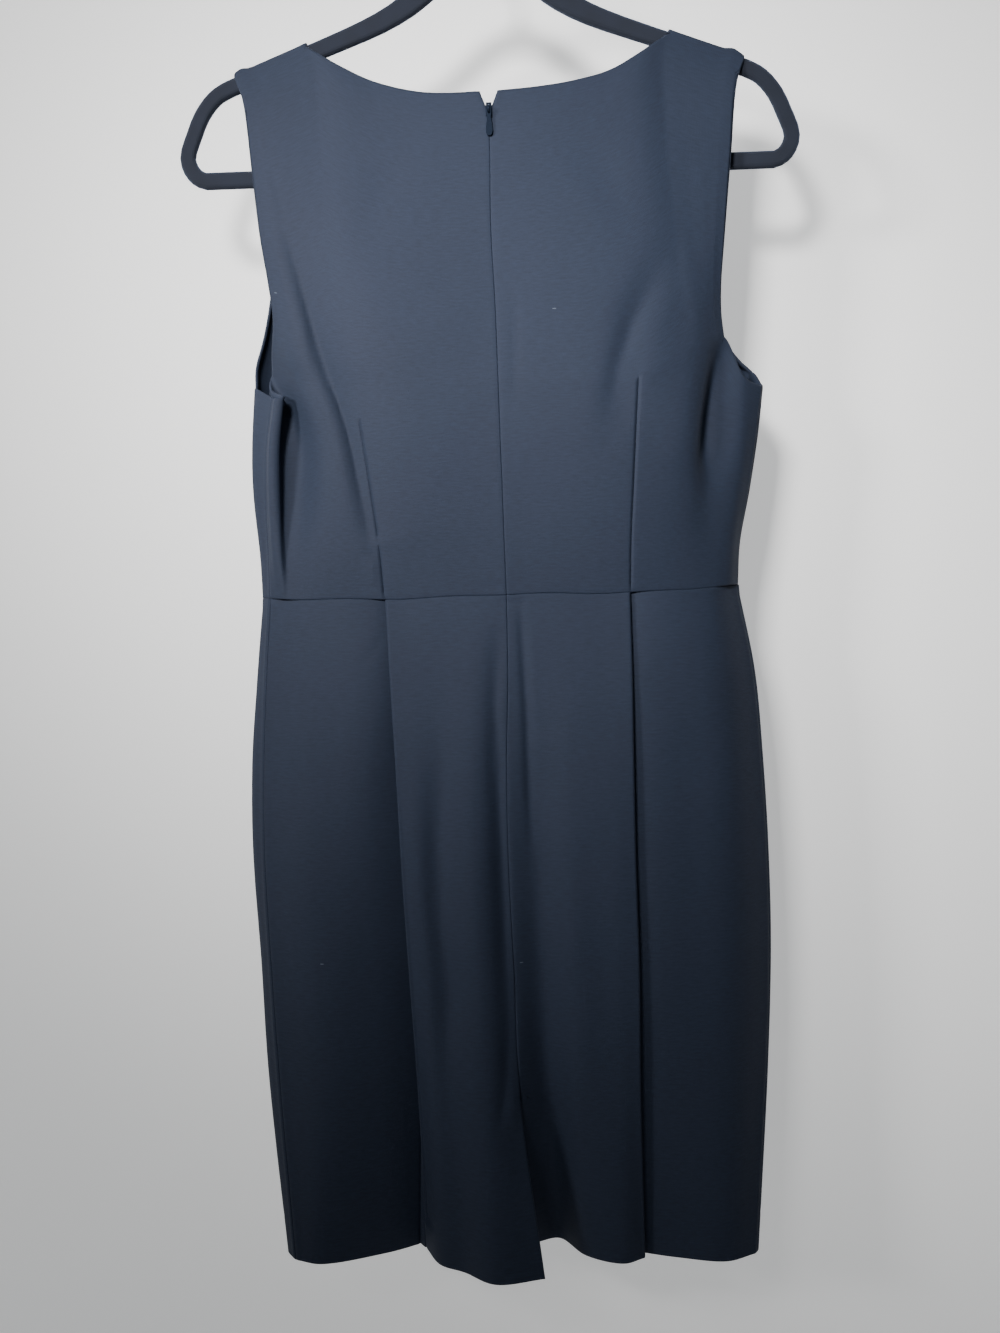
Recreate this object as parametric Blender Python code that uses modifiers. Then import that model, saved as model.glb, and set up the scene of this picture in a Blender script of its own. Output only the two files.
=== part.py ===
"""Sleeveless sheath dress hung by its shoulders on a flat flocked hanger, as a rigid model.

The origin is the inside top of the hanger's hook, where a rail carries it. +Z is up and -Y is
the back of the garment. Each panel is a grid of points on the middle of its cloth, worked out
from guide lines that run down the garment (seams, folds and pleat edges), then given its wall.
Lengths in the tables and named sizes are millimetres, and MM turns them into metres.
"""
import math

import bmesh
import bpy
from mathutils import Vector

MM = 0.001

# Cloth
WALL = 1.2                 # thickness of the double-knit cloth
SEAM_GAP = 0.42            # clear space left between two panels at a seam
WAIST_GAP = 0.5            # the same at the waist, where the panels lean apart
SEAM_MARGIN = 1.6          # strip beside a side seam that lies square to the seam
FOLD_RADIUS = 1.3          # middle of the cloth round a pleat's pressed edge
TUCK_LEAD = 0.3            # how far towards its inner fold the cloth has turned under the pleat
CLEARANCE = 0.4            # clear space between the cloth and what it hangs on

# Hanger
HANGER_DEPTH = 5.2         # front to back
SHOULDER_TOP = -138.6      # height of the arm's upper edge where the straight arm starts
SHOULDER_START = 119.0     # half width there
SHOULDER_FALL = 0.3925     # fall of that edge for each millimetre outwards
BOSS_RADIUS, BOSS_Z, BOSS_HEIGHT = 6.2, -81.0, 23.0  # round neck that holds the hook
SOCKET_Z, SOCKET_DEPTH = -69.0, 22.0
HOOK_WIRE = 1.9            # radius of the hook's wire
HOOK_BEND = 20.0           # inner radius of the hook
HOOK_ANGLES = (214, -25)   # where the bend starts and ends, in degrees from +X
HOOK_STEM = (-79.5, -70.0, -62.0)                   # heights of the straight stem's points
HOOK_OFFSET_RADIUS = 9.5   # of the small bend that leads from the stem to the hook
HOOK_OFFSET_Z = -57.5

# Shoulder seams, measured along X
NECK_LEFT, NECK_RIGHT = -128.0, 131.0
SHOULDER_LEFT, SHOULDER_RIGHT = -181.0, 184.0
SHOULDER_CELLS = (0.0, 0.1, 0.2, 0.42, 0.72, 1.0)   # columns from the armhole to the neck
RIDGE_ANGLES = (50.0, 22.0, 5.0)                    # rows that carry the cloth over the arm
SEAM_BULGES = ((129.5, 3.5, 1.1), (176.5, 4.5, 2.1))  # half width, reach and height of turned-in cloth

# Waist and hem
WAIST_Z = -544.3
WAIST_RISE = 4.5           # the waist seam is this much higher at the sides
WAIST_HALF = 170.0

# Vent, open below this station of the skirt; its underlap reaches behind the flap
VENT_STATION = 5
VENT_SPREAD = 0.35         # of a station, over which the underlap comes to its full width
UNDERLAP_WIDTH = 36.0
UNDERLAP_TOP = 0.72        # share of that width at the vent's top
UNDERLAP_DROP = 8.0        # fall of the underlap's top edge towards its free edge
UNDERLAP_BOW = 2.0         # how far it bows away behind the flap
UNDERLAP_COLUMNS = (1.0, 0.7, 0.4, 0.15)            # from the free edge to the centre

# Zip
ZIP_SLIDER_Z = -203.0      # axis of the pull tab
ZIP_END_Z = -656.0
TAPE_TOP_Z = -209.5
TAPE_WIDTH = 7.5
TAPE_WALL = 0.6
TAPE_INSET = 0.3           # between the tape's edge and the centre line
NOTCH_TOP_HALF = 6.3       # half width of the opening above the slider, at the neckline
NOTCH_MID_HALF = 2.2
NOTCH_MID_Z = -198.3
NOTCH_END_Z = -208.0
NECKLINE_Z = -187.3

# Zip pull, seen flat from its front with the hinge axis at height 0; right half, top to bottom
PULL_OUTLINE = ((0, 0.45), (1.1, 0.45), (1.6, 0.0), (1.75, -1.4), (1.65, -3.6), (1.35, -5.4),
                (1.5, -8.0), (2.0, -11.5), (2.35, -14.5), (2.2, -17.0), (1.5, -18.7), (0, -19.5))
PULL_EYE = ((0, -0.45), (0.6, -0.5), (0.9, -1.0), (0.9, -3.2), (0.6, -3.7), (0, -3.85))
PULL_WALL = 0.9
SLIDER_STAND_OFF = 2.3     # from the cloth's face out to the pull's axis
PULL_LEAN = 3.6            # degrees that the pull leans in to lie on the cloth
BRIDGE_RADIUS = 2.2        # of the arch that the pull hangs from, round the same axis
BRIDGE_WIRE = 0.5
BRIDGE_FOOT = 1.5          # the arch's ends, inwards from the axis

# Slider's blocks, from the pull's axis: name, lowest and highest corner; +Y is inwards
SLIDER_BLOCKS = (
    ("slider_plate", (-2.0, 0.95, -4.2), (2.0, 1.95, 5.4)),
    ("slider_neck", (-1.1, 1.5, 2.9), (1.1, 5.0, 5.0)),
    ("slider_shoe", (-2.7, 4.4, 1.2), (2.7, 5.6, 5.6)),
)

# Bodice guide lines. Five stations each: waist, low, middle, bust and underarm; (x, y, z).
BODICE = {
    "seam_left": ((-162, -12, -540), (-162.3, -12, -506), (-163.3, -12, -470),
                  (-162, -12, -434), (-157, -12, -398)),
    "lip_left": ((-155, -17, -542), (-157, -18.5, -508), (-158, -19, -470),
                 (-157.2, -19.5, -434), (-152.5, -19.5, -400.5)),
    "turn_left": ((-151, -18.8, -543), (-153.5, -17.8, -509), (-154.6, -15, -470),
                  (-154, -15, -434), (-149.4, -15.5, -399)),
    "valley_left": ((-146.5, -20.6, -543), (-149.5, -16.5, -509), (-151.5, -11, -470),
                    (-154, -8, -433), (-158.5, -4, -391)),
    "floor_left": ((-139, -22.2, -543.3), (-141, -19, -509), (-141, -13.5, -470),
                   (-141, -9.5, -431), (-160.3, 0.5, -379)),
    "panel_left": ((-125, -25.6, -544), (-122, -27, -509), (-121, -27.5, -470), (-122, -26, -432),
                   (-134, -23, -392)),
    "dart_left": ((-78.4, -30.4, -544), (-81, -32.6, -509), (-86, -35, -470), (-91, -36, -434),
                  (-96, -36, -398)),
    "centre_back": ((5.8, -33, -544), (5.3, -34, -509), (4.9, -35, -470), (4.4, -36, -434),
                    (4, -36, -398)),
    "dart_right": ((90.9, -30.4, -544), (92, -32.6, -509), (94.5, -35, -470), (97, -37, -432),
                   (99.5, -37, -398)),
    "panel_right": ((126, -25.6, -544), (126, -27.6, -509), (133, -28.5, -470), (139.5, -29, -430),
                    (149, -22, -372)),
    "valley_right": ((146, -20.5, -543), (146, -20.5, -509), (147, -19.5, -470),
                     (146.5, -15, -430), (162.8, -12, -366)),
    "lip_right": ((161, -13, -541.5), (163.5, -12.5, -508), (169, -12, -470), (174, -10.5, -431),
                  (177, -10, -394)),
    "seam_right": ((169.2, -2, -539.5), (171.4, -2, -508), (178.8, -2, -472),
                   (185.3, -2, -434), (190.3, -2, -398)),
    "side_right": ((167.2, 7, -539.5), (171.4, 7, -508), (178, 8, -472), (185, 8, -434),
                   (186.5, 7, -386)),
    "front_right": ((152, 15, -541), (156, 18, -508), (162, 21, -468),
                    (168, 22, -430), (172, 20, -380)),
    "bust_right": ((90, 24, -544), (88, 31, -509), (86, 38, -470),
                   (85, 42, -432), (86, 41, -398)),
    "centre_front": ((4, 25, -544), (4, 29, -509), (4, 33, -470),
                     (4, 35, -434), (4, 34, -398)),
    "bust_left": ((-82, 24, -544), (-80, 31, -509), (-78, 38, -470),
                  (-77, 42, -432), (-78, 41, -398)),
    "front_left": ((-152, 15, -541), (-154, 18, -508), (-157, 21, -468),
                   (-160, 22, -430), (-161, 21, -390)),
    "side_left": ((-169.8, -1, -538), (-171.3, 0, -508), (-175.2, 1, -465),
                  (-175.6, 2, -430), (-173.4, 5, -386)),
}
BODICE_ROWS = 8

# Edges of the upper bodice, from the underarm up to the shoulder or neck; (x, y, z).
ARMHOLES = {
    "back_left": ((-160.3, 0.5, -379), (-158, -7.5, -364), (-155.2, -13, -345), (-157.6, -14, -320),
                  (-163, -13, -285), (-168.3, -10, -237), (-174.5, -7, -183)),
    "back_right": ((162.8, -12, -366), (161.2, -12.6, -350), (161.5, -13.3, -330),
                   (165, -13, -295), (171.5, -10, -237), (177.7, -7, -184)),
    "front_left": ((-175, 5, -386), (-174, 9, -371), (-168, 12, -346), (-163, 13, -318),
                   (-161.5, 13, -285), (-166, 10, -237), (-174, 7, -185)),
    "front_right": ((186.5, 7, -386), (178, 9.5, -376.5), (169, 11, -362), (163.5, 13, -335),
                    (162.5, 13, -295), (169, 10, -237), (177, 7, -184)),
}
CENTRE_BACK_UPPER = ((4, -36, -398), (3.2, -31, -345), (1.5, -25, -290),
                     (1.9, -18.5, -235), (1.9, -13.5, NECKLINE_Z))
NECKLINES = {
    "back_left": ((-111, -8, -157.6), (-82, -10.8, -174.8), (-50, -12.6, -185.0),
                  (-28, -13.2, -187.4), (1.9, -13.5, -188.8)),
    "back_right": ((115, -8, -158), (89, -10.8, -174), (64, -12.3, -181.4),
                   (37, -13.2, -185.4), (1.9, -13.5, -187.6)),
    "front": ((117, 8, -162), (92, 11, -183), (60, 13.3, -197), (30, 14.3, -203.5),
              (2, 14.6, -205), (-27, 14.3, -203.5), (-57, 13.3, -197), (-89, 11, -183),
              (-114, 8, -162)),
}
UPPER_ROWS = (0.08, 0.17, 0.27, 0.38, 0.5, 0.62, 0.73, 0.82, 0.9, 0.925, 0.95, 0.975, 1.0)
UNDERARM_FADE = 1.5        # how fast the underarm folds fade going up

# Skirt stations, and guide lines with one (x, y) for each station.
SKIRT_STATIONS = (-544.5, -600, -660, -725, -800, -887, -1003)
SKIRT = {
    "seam_left": ((-162, -12), (-166, -13), (-169, -14), (-169.8, -15), (-167, -16),
                  (-162.5, -17), (-153, -24)),
    "side_back_left": ((-128, -25), (-128, -29), (-130, -32), (-132, -34), (-130, -33),
                       (-128, -30), (-134, -30)),
    "pleat_way_left": ((-86, -28.8), (-86.5, -32.6), (-94, -34.2), (-97, -33), (-95, -29),
                       (-93, -24), (-90, -17)),
    "tuck_left": ((-54, -20), (-52, -21), (-53, -20), (-56, -19), (-59, -16),
                  (-63, -12), (-68, -6)),
    "pleat_left": ((-77.5, -30.3), (-75, -35.8), (-72, -41), (-69.8, -42), (-66.8, -39),
                   (-63.8, -30), (-62.5, -11)),
    "roll_left": ((-64, -31.6), (-62, -36.9), (-59, -42.5), (-57, -45), (-54, -44), (-52, -41),
                  (-51.5, -32)),
    "dip_left": ((-42, -32.6), (-42, -37), (-42, -42), (-44, -43.5), (-41, -43.5), (-40, -44),
                 (-34.5, -41)),
    "ridge_left": ((-18, -33), (-18, -37.8), (-19, -43.4), (-20, -46.6), (-18, -48), (-15, -50),
                   (-13, -55)),
    "flap": ((5.8, -33), (5.3, -36), (3, -38.5), (2.5, -39), (4.3, -39), (6.5, -40), (20.1, -49)),
    "under": ((5.8, -33), (5.3, -36), (3, -38.5), (2.5, -39), (4.3, -38.6), (6.5, -37), (15, -6)),
    "valley_right": ((22, -32.6), (22, -35.7), (20, -37), (20, -36.5), (22, -34), (26, -27),
                     (31, -1)),
    "rise_right": ((46, -32.4), (46, -36.8), (46, -40.6), (46, -42), (47, -41), (48, -37),
                   (49, -23)),
    "roll_right": ((73, -31.5), (73, -36.7), (73, -41.2), (73, -43), (73, -42), (73, -39),
                   (74, -33)),
    "pleat_right": ((90, -30.3), (89.6, -35.8), (88.5, -40), (88, -41), (88.6, -40), (87.7, -36),
                    (88.8, -26)),
    "tuck_right": ((66, -20), (66, -27), (66, -31), (67, -32), (68, -31),
                   (69, -26), (72, -16)),
    "pleat_way_right": ((98.5, -28.6), (98.5, -32.8), (101, -35.4), (104, -36.4), (107, -35.2),
                        (109, -31), (110, -26)),
    "side_back_right": ((146, -21), (150, -25), (152, -27), (153, -28), (153, -28),
                        (150, -28), (144, -31.5)),
    "seam_right": ((169.2, -2), (178.5, -3), (182.4, -4), (184.4, -5), (184, -6),
                   (178.6, -9), (166.5, -21)),
    "side_right": ((166.5, 8), (176, 8), (180, 9), (182, 9), (180.6, 8), (174.5, 4), (162.5, -8)),
    "front_right": ((150, 15), (158, 19), (161, 22), (163, 23), (161, 22), (156, 17), (145, 7)),
    "thigh_right": ((90, 24), (92, 31), (93, 35), (94, 37), (93, 36), (91, 32), (84, 26)),
    "centre_front": ((4, 25), (4, 30), (3, 33), (3, 34), (3, 33), (3, 30), (3, 25)),
    "thigh_left": ((-82, 24), (-84, 31), (-86, 35), (-87, 37), (-86, 36), (-84, 32), (-78, 26)),
    "front_left": ((-150, 15), (-156, 19), (-160, 22), (-160, 23), (-157, 22), (-152, 17),
                   (-140, 7)),
    "side_left": ((-169.8, -1), (-175.8, 0), (-181, 0), (-181.7, 0), (-177.6, -1),
                  (-173.2, -4), (-160.5, -13)),
}
SKIRT_ROWS = (0, 0.35, 1, 1.5, 2, 2.5, 3, 3.5, 4, 4.5, VENT_STATION, 5.13, 5.35, 5.6, 5.8, 6)

# Soft drag folds across the panels: name, panel side, ends (x, z), half width and depth.
DRAG_FOLDS = (
    ("armhole to left dart", "back", (-146, -290), (-97, -489), 14, 3.8),
    ("armhole to right dart", "back", (120, -310), (80, -440), 19, 1.8),
    ("left front skirt", "front", (-48, -590), (-36, -960), 14, 4.0),
    ("right front skirt", "front", (50, -640), (62, -1003), 13, 3.4),
    ("left front bodice", "front", (-150, -330), (-104, -420), 11, 2.8),
    ("right front bodice", "front", (150, -330), (112, -420), 11, 2.8),
)

# Hanger outline, one row for each point of its centre line: half width x, height, half breadth.
HANGER = (
    (0, -82, 9.6), (16, -86, 9.6), (35, -100, 9.4), (55, -116.6, 8.3), (75, -128.1, 7.5),
    (98, -137.8, 6.8), (119, -145.8, 6.5), (152, -158.4, 6.3), (185, -171.2, 6.0),
    (196, -177.7, 5.8), (205.7, -190, 5.8), (211.5, -203.5, 5.8), (216.7, -220.5, 5.8),
    (212.4, -231.8, 5.9), (203.5, -237.2, 6.1), (120, -237.3, 6.1),
)
HANGER_STEPS = (2, 3, 3, 2, 2, 1, 1, 1, 3, 3, 2, 3, 3, 3, 1)


def vectors(points):
    return [Vector(point) for point in points]


def lerp(a, b, t):
    return a + (b - a) * t


def bell(distance, width):
    return math.exp(-(distance / width) ** 2)


def hermite(p0, p1, m0, m1, t):
    """Cubic from p0 to p1 with end slopes m0 and m1."""
    square = t * t
    cube = square * t
    return (p0 * (2 * cube - 3 * square + 1) + m0 * (cube - 2 * square + t)
            + p1 * (3 * square - 2 * cube) + m1 * (cube - square))


def along(points, station):
    """Point at a station, counted from 0, on the smooth line through the points."""
    k = min(int(station), len(points) - 2)
    start, end = points[k], points[k + 1]
    slope_in = (end - points[k - 1]) / 2 if k > 0 else end - start
    slope_out = (points[k + 2] - start) / 2 if k + 2 < len(points) else end - start
    return hermite(start, end, slope_in, slope_out, station - k)


def across(points, cells):
    """Points of one row: the smooth curve through its guide points, cells[k] steps in gap k."""
    gaps = [max((b - a).length, 0.01) ** 0.5 for a, b in zip(points, points[1:])]
    chords = [(b - a) / gap for a, b, gap in zip(points, points[1:], gaps)]
    slopes = [chords[0]]
    for k in range(1, len(chords)):
        total = gaps[k - 1] + gaps[k]
        slopes.append((chords[k - 1] * gaps[k] + chords[k] * gaps[k - 1]) / total)
    slopes.append(chords[-1])
    row = []
    for k, count in enumerate(cells):
        for step in range(count):
            row.append(hermite(points[k], points[k + 1], slopes[k] * gaps[k],
                               slopes[k + 1] * gaps[k], step / count))
    row.append(points[-1].copy())
    return row


def arc_length_points(points, fractions):
    """Points at fractions of the length of the smooth curve through the points."""
    fine = across(points, [12] * (len(points) - 1))
    lengths = [0.0]
    for a, b in zip(fine, fine[1:]):
        lengths.append(lengths[-1] + (b - a).length)
    result = []
    for fraction in fractions:
        target = fraction * lengths[-1]
        k = next((i for i in range(len(fine) - 1) if lengths[i + 1] >= target), len(fine) - 2)
        result.append(fine[k].lerp(fine[k + 1], (target - lengths[k]) / (lengths[k + 1] - lengths[k])))
    return result


def waist_height(x):
    return WAIST_Z + WAIST_RISE * abs(x / WAIST_HALF) ** 6


def arm_top(x):
    """Height of the hanger arm's upper edge under the shoulder seam."""
    return SHOULDER_TOP - SHOULDER_FALL * (abs(x) - SHOULDER_START)


def shoulder_ridge(x):
    """Height of the cloth's middle over the arm, thicker where seams are turned in at its ends."""
    bulge = sum(height * bell(abs(x) - middle, reach) for middle, reach, height in SEAM_BULGES)
    return arm_top(x) + CLEARANCE + WALL / 2 + bulge


def notch_half_width(z):
    """Half of the opening at the top of the centre back, down to nothing but the seam gap."""
    seam = SEAM_GAP / 2
    if z >= NOTCH_MID_Z:
        return lerp(NOTCH_MID_HALF, NOTCH_TOP_HALF, min(1, (z - NOTCH_MID_Z) / (NECKLINE_Z - NOTCH_MID_Z)))
    if z >= NOTCH_END_Z:
        return lerp(seam, NOTCH_MID_HALF, (z - NOTCH_END_Z) / (NOTCH_MID_Z - NOTCH_END_Z))
    return seam


def drag_folds(point, side):
    """Depth at a point of the soft folds on one side of the garment."""
    depth = 0.0
    for _, fold_side, start, end, half_width, deepest in DRAG_FOLDS:
        if fold_side != side:
            continue
        run = Vector((end[0] - start[0], end[1] - start[1]))
        offset = Vector((point.x - start[0], point.z - start[1]))
        t = offset.dot(run) / run.length_squared
        nearest = run * min(max(t, 0.0), 1.0)
        fade = math.sin(math.pi * min(max(t, 0.02), 0.98)) ** 0.7
        depth += deepest * fade * bell((offset - nearest).length, half_width)
    return depth


def soften(rows, side):
    """Push the rows' points inwards along the drag folds."""
    inwards = 1.0 if side == "back" else -1.0
    for row in rows:
        for point in row:
            if point is not None:
                point.y += inwards * drag_folds(point, side)
    return rows


def seam_start(seam, ahead, behind):
    """Two points that start a row square to a side seam, between its neighbours on either side."""
    run = (ahead - behind).normalized()
    return [seam + run * (SEAM_GAP / 2), seam + run * (SEAM_GAP / 2 + SEAM_MARGIN)]


def bodice_guide(name, station):
    return along(vectors(BODICE[name]), station)


def level_waist(row, gap):
    """Bring a row to the waist seam, with its half of the gap above or below it."""
    for point in row:
        point.z = waist_height(point.x) + gap / 2
    return row


def panel_row(guide, names, cells, station, seams):
    """Row of a panel through guide lines; seams holds the neighbours past each side seam."""
    points = [guide(name, station) for name in names]
    before, after = seams
    start, end = [], []
    if before:
        start = seam_start(points[0], points[1], guide(before, station))
        points[0] = start[1]
    if after:
        end = seam_start(points[-1], points[-2], guide(after, station))
        points[-1] = end[1]
    return start[:1] + across(points, cells) + end[:1]


def coons_rows(bottom, top, left, right, shares):
    """Rows of the patch between four edge curves, without its bottom row."""
    rows = []
    last = len(bottom) - 1
    for i, share in enumerate(shares):
        rise = 1 - (1 - share) ** UNDERARM_FADE
        row = []
        for j in range(last + 1):
            u = j / last
            edges = bottom[j].lerp(top[j], rise) + left[i].lerp(right[i], u)
            corners = bottom[0].lerp(bottom[last], u).lerp(top[0].lerp(top[last], u), rise)
            row.append(edges - corners)
        rows.append(row)
    return rows


def shoulder_columns(outer_x, neck_x, side):
    """Points where the cloth leaves the hanger arm, from the armhole to the neck."""
    drop = HANGER_DEPTH / 2 + CLEARANCE + WALL / 2
    points = []
    for share in SHOULDER_CELLS:
        x = lerp(outer_x, neck_x, share)
        points.append(Vector((x, side * drop, shoulder_ridge(x) - drop)))
    return points


def ridge_rows(columns, side):
    """Rows that roll the shoulder columns over the arm, up to the shoulder seam."""
    radius = HANGER_DEPTH / 2 + CLEARANCE + WALL / 2
    rows = []
    for angle in RIDGE_ANGLES:
        turn = math.radians(angle)
        row = []
        for point in columns:
            row.append(Vector((point.x, side * radius * math.sin(turn), point.z + radius * math.cos(turn))))
        rows.append(row)
    return rows


def armhole_edge(name, shoulder_point):
    points = vectors(ARMHOLES[name]) + [shoulder_point]
    return arc_length_points(points, UPPER_ROWS)


def centre_back_edge(side):
    """Upper centre back of one half, opened by the notch; side is -1 for the left half."""
    edge = []
    for share in UPPER_ROWS:
        point = along(vectors(CENTRE_BACK_UPPER), share * (len(CENTRE_BACK_UPPER) - 1))
        point.x += side * notch_half_width(point.z)
        edge.append(point)
    return edge


def back_bodice(side):
    """Rows of one half of the bodice back, waist first; side is -1 for the left half."""
    hand = "left" if side < 0 else "right"
    names = [f"seam_{hand}", f"lip_{hand}", f"valley_{hand}", f"panel_{hand}", f"dart_{hand}", "centre_back"]
    cells = [3, 4, 4, 4, 6]
    lip_columns = 1 + cells[0] + cells[1]
    if side < 0:
        names[2:3] = ["turn_left", "valley_left", "floor_left"]
        cells[1:3] = [1, 3, 2, 3]
        lip_columns = 1 + sum(cells[:4])
    rows = []
    for step in range(BODICE_ROWS + 1):
        station = 4 * step / BODICE_ROWS
        row = panel_row(bodice_guide, names, cells, station, (f"side_{hand}", None))
        row[-1].x += side * SEAM_GAP / 2
        rows.append(row)
    level_waist(rows[0], WAIST_GAP)
    bottom = rows[-1][lip_columns:]
    outer, neck = (SHOULDER_LEFT, NECK_LEFT) if side < 0 else (SHOULDER_RIGHT, NECK_RIGHT)
    shoulder = shoulder_columns(outer, neck, -1)
    right_edge = centre_back_edge(side)
    neckline = [shoulder[-1]] + vectors(NECKLINES[f"back_{hand}"])
    neckline[-1] = right_edge[-1]
    neck_cells = len(bottom) - len(shoulder)
    neck_points = arc_length_points(neckline, [k / neck_cells for k in range(neck_cells + 1)])
    top = shoulder + neck_points[1:]
    upper = coons_rows(bottom, top, armhole_edge(f"back_{hand}", shoulder[0]), right_edge, UPPER_ROWS)
    ridge = ridge_rows(shoulder, -1)
    empty = [None] * lip_columns
    rows += [empty + row for row in upper]
    rows += [empty + row + [None] * neck_cells for row in ridge]
    soften(rows, "back")
    return rows if side < 0 else [row[::-1] for row in rows]


def front_bodice():
    """Rows of the bodice front, from the right side seam round to the left, waist first."""
    names = ["seam_right", "side_right", "front_right", "bust_right", "centre_front", "bust_left",
             "front_left", "side_left", "seam_left"]
    cells = [3, 3, 5, 5, 5, 5, 3, 4]
    rows = []
    for step in range(BODICE_ROWS + 1):
        station = 4 * step / BODICE_ROWS
        rows.append(panel_row(bodice_guide, names, cells, station, ("lip_right", "lip_left")))
    level_waist(rows[0], WAIST_GAP)
    bottom = rows[-1][cells[0] + 1:-cells[-1] - 1]
    right = shoulder_columns(SHOULDER_RIGHT, NECK_RIGHT, 1)
    left = shoulder_columns(SHOULDER_LEFT, NECK_LEFT, 1)[::-1]
    neck_cells = len(bottom) - len(right) - len(left) + 1
    neckline = [right[-1]] + vectors(NECKLINES["front"]) + [left[0]]
    neck_points = arc_length_points(neckline, [k / neck_cells for k in range(neck_cells + 1)])
    top = right + neck_points[1:-1] + left
    upper = coons_rows(bottom, top, armhole_edge("front_right", right[0]),
                       armhole_edge("front_left", left[-1]), UPPER_ROWS)
    before, after = [None] * (cells[0] + 1), [None] * (cells[-1] + 1)
    rows += [before + row + after for row in upper]
    for right_ridge, left_ridge in zip(ridge_rows(right, 1), ridge_rows(left, 1)):
        rows.append(before + right_ridge + [None] * (neck_cells - 1) + left_ridge + after)
    return soften(rows, "front")


def skirt_guide(name, station):
    """Point of a skirt guide line at a station."""
    points = [Vector((x, y, z)) for (x, y), z in zip(SKIRT[name], SKIRT_STATIONS)]
    return along(points, station)


def fold(before, tip, after):
    """Three points that turn the cloth round a pressed fold at its tip."""
    outwards = ((tip - before).normalized() + (tip - after).normalized())
    outwards.z = 0
    outwards.normalize()
    sideways = Vector((-outwards.y, outwards.x, 0))
    if sideways.dot(before - after) < 0:
        sideways = -sideways
    back = tip - outwards * FOLD_RADIUS
    return [back + sideways * FOLD_RADIUS, tip.copy(), back - sideways * FOLD_RADIUS]


def pleat(way, tuck, edge, roll):
    """The tuck's fold and the pleat's edge fold, coming from the side of the skirt."""
    inner = fold(lerp(way, tuck, TUCK_LEAD), tuck, edge)
    outer = fold(tuck, edge, roll)
    return inner, outer


def skirt_half(side, station):
    """Row of one half of the skirt back at a station, from the side seam to the centre."""
    hand = "left" if side < 0 else "right"
    seam = skirt_guide(f"seam_{hand}", station)
    middle = skirt_guide(f"side_back_{hand}", station)
    way = skirt_guide(f"pleat_way_{hand}", station)
    tuck = skirt_guide(f"tuck_{hand}", station)
    edge = skirt_guide(f"pleat_{hand}", station)
    roll = skirt_guide(f"roll_{hand}", station)
    if side < 0:
        inside = ["dip_left", "ridge_left", "flap"]
    else:
        inside = ["rise_right", "valley_right", "under"]
    start = seam_start(seam, middle, skirt_guide(f"side_{hand}", station))
    inner, outer = pleat(way, tuck, edge, roll)
    row = start[:1] + across([start[1], middle, way, inner[0]], [4, 3, 4])
    row.append(inner[1])
    row += across([inner[2], outer[0]], [2])
    row.append(outer[1])
    centre = [outer[2], roll] + [skirt_guide(name, station) for name in inside]
    row += across(centre, [1, 2, 3, 3])
    return row


def underlap_row(station, joint):
    """Points of the vent's underlap behind the flap, from its free edge to the joint column."""
    spread = min(1.0, (station - VENT_STATION) / VENT_SPREAD)
    reach = UNDERLAP_WIDTH * lerp(UNDERLAP_TOP, 1.0, spread)
    points = []
    for share in UNDERLAP_COLUMNS:
        bow = UNDERLAP_BOW * math.sin(math.pi * share)
        drop = UNDERLAP_DROP * share * (1 - spread)
        points.append(joint + Vector((-reach * share, bow, -drop)))
    return points


def skirt_back(side):
    """Rows of one half of the skirt back, hem first; side is -1 for the left half."""
    rows = []
    for station in SKIRT_ROWS:
        row = skirt_half(side, station)
        if station == 0:
            level_waist(row, -WAIST_GAP)
        row[-1].x += side * SEAM_GAP / 2
        if side > 0:
            row.reverse()
            if station >= VENT_STATION:
                row = underlap_row(station, row[0]) + row
            else:
                row = [None] * len(UNDERLAP_COLUMNS) + row
        rows.append(row)
    return rows[::-1]


def skirt_front():
    """Rows of the skirt front, from the right side seam round to the left, hem first."""
    names = ["seam_right", "side_right", "front_right", "thigh_right", "centre_front", "thigh_left",
             "front_left", "side_left", "seam_left"]
    cells = [3, 3, 4, 4, 4, 4, 3, 4]
    rows = []
    for station in SKIRT_ROWS:
        row = panel_row(skirt_guide, names, cells, station, ("side_back_right", "side_back_left"))
        if station == 0:
            level_waist(row, -WAIST_GAP)
        rows.append(row)
    return soften(rows[::-1], "front")


def at_height(pairs, z):
    """The pair of points where the line of pairs reaches a height, and those above it."""
    k = next(i for i in range(len(pairs) - 1) if pairs[i + 1][0].z >= z)
    t = (z - pairs[k][0].z) / (pairs[k + 1][0].z - pairs[k][0].z)
    return pairs[k][0].lerp(pairs[k + 1][0], t), pairs[k][1].lerp(pairs[k + 1][1], t)


def zip_tape(side, bodice_rows, skirt_rows):
    """Strip behind the centre back edge of one half, made from the panels' own points."""
    edge, beside = (-1, -2) if side < 0 else (0, 1)
    inwards = Vector((0, WALL / 2 + CLEARANCE + TAPE_WALL / 2, 0))
    pairs = []
    for row in skirt_rows + bodice_rows:
        points = [point for point in row if point is not None]
        pairs.append((points[edge], points[beside]))
    inside = [pair for pair in pairs if ZIP_END_Z < pair[0].z < TAPE_TOP_Z]
    inside = [at_height(pairs, ZIP_END_Z)] + inside + [at_height(pairs, TAPE_TOP_Z)]
    rows = []
    for seam_point, inner in inside:
        run = (inner - seam_point).normalized()
        strip = [seam_point + run * TAPE_WIDTH + inwards, seam_point + run * TAPE_INSET + inwards]
        rows.append(strip if side < 0 else strip[::-1])
    return rows


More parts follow.
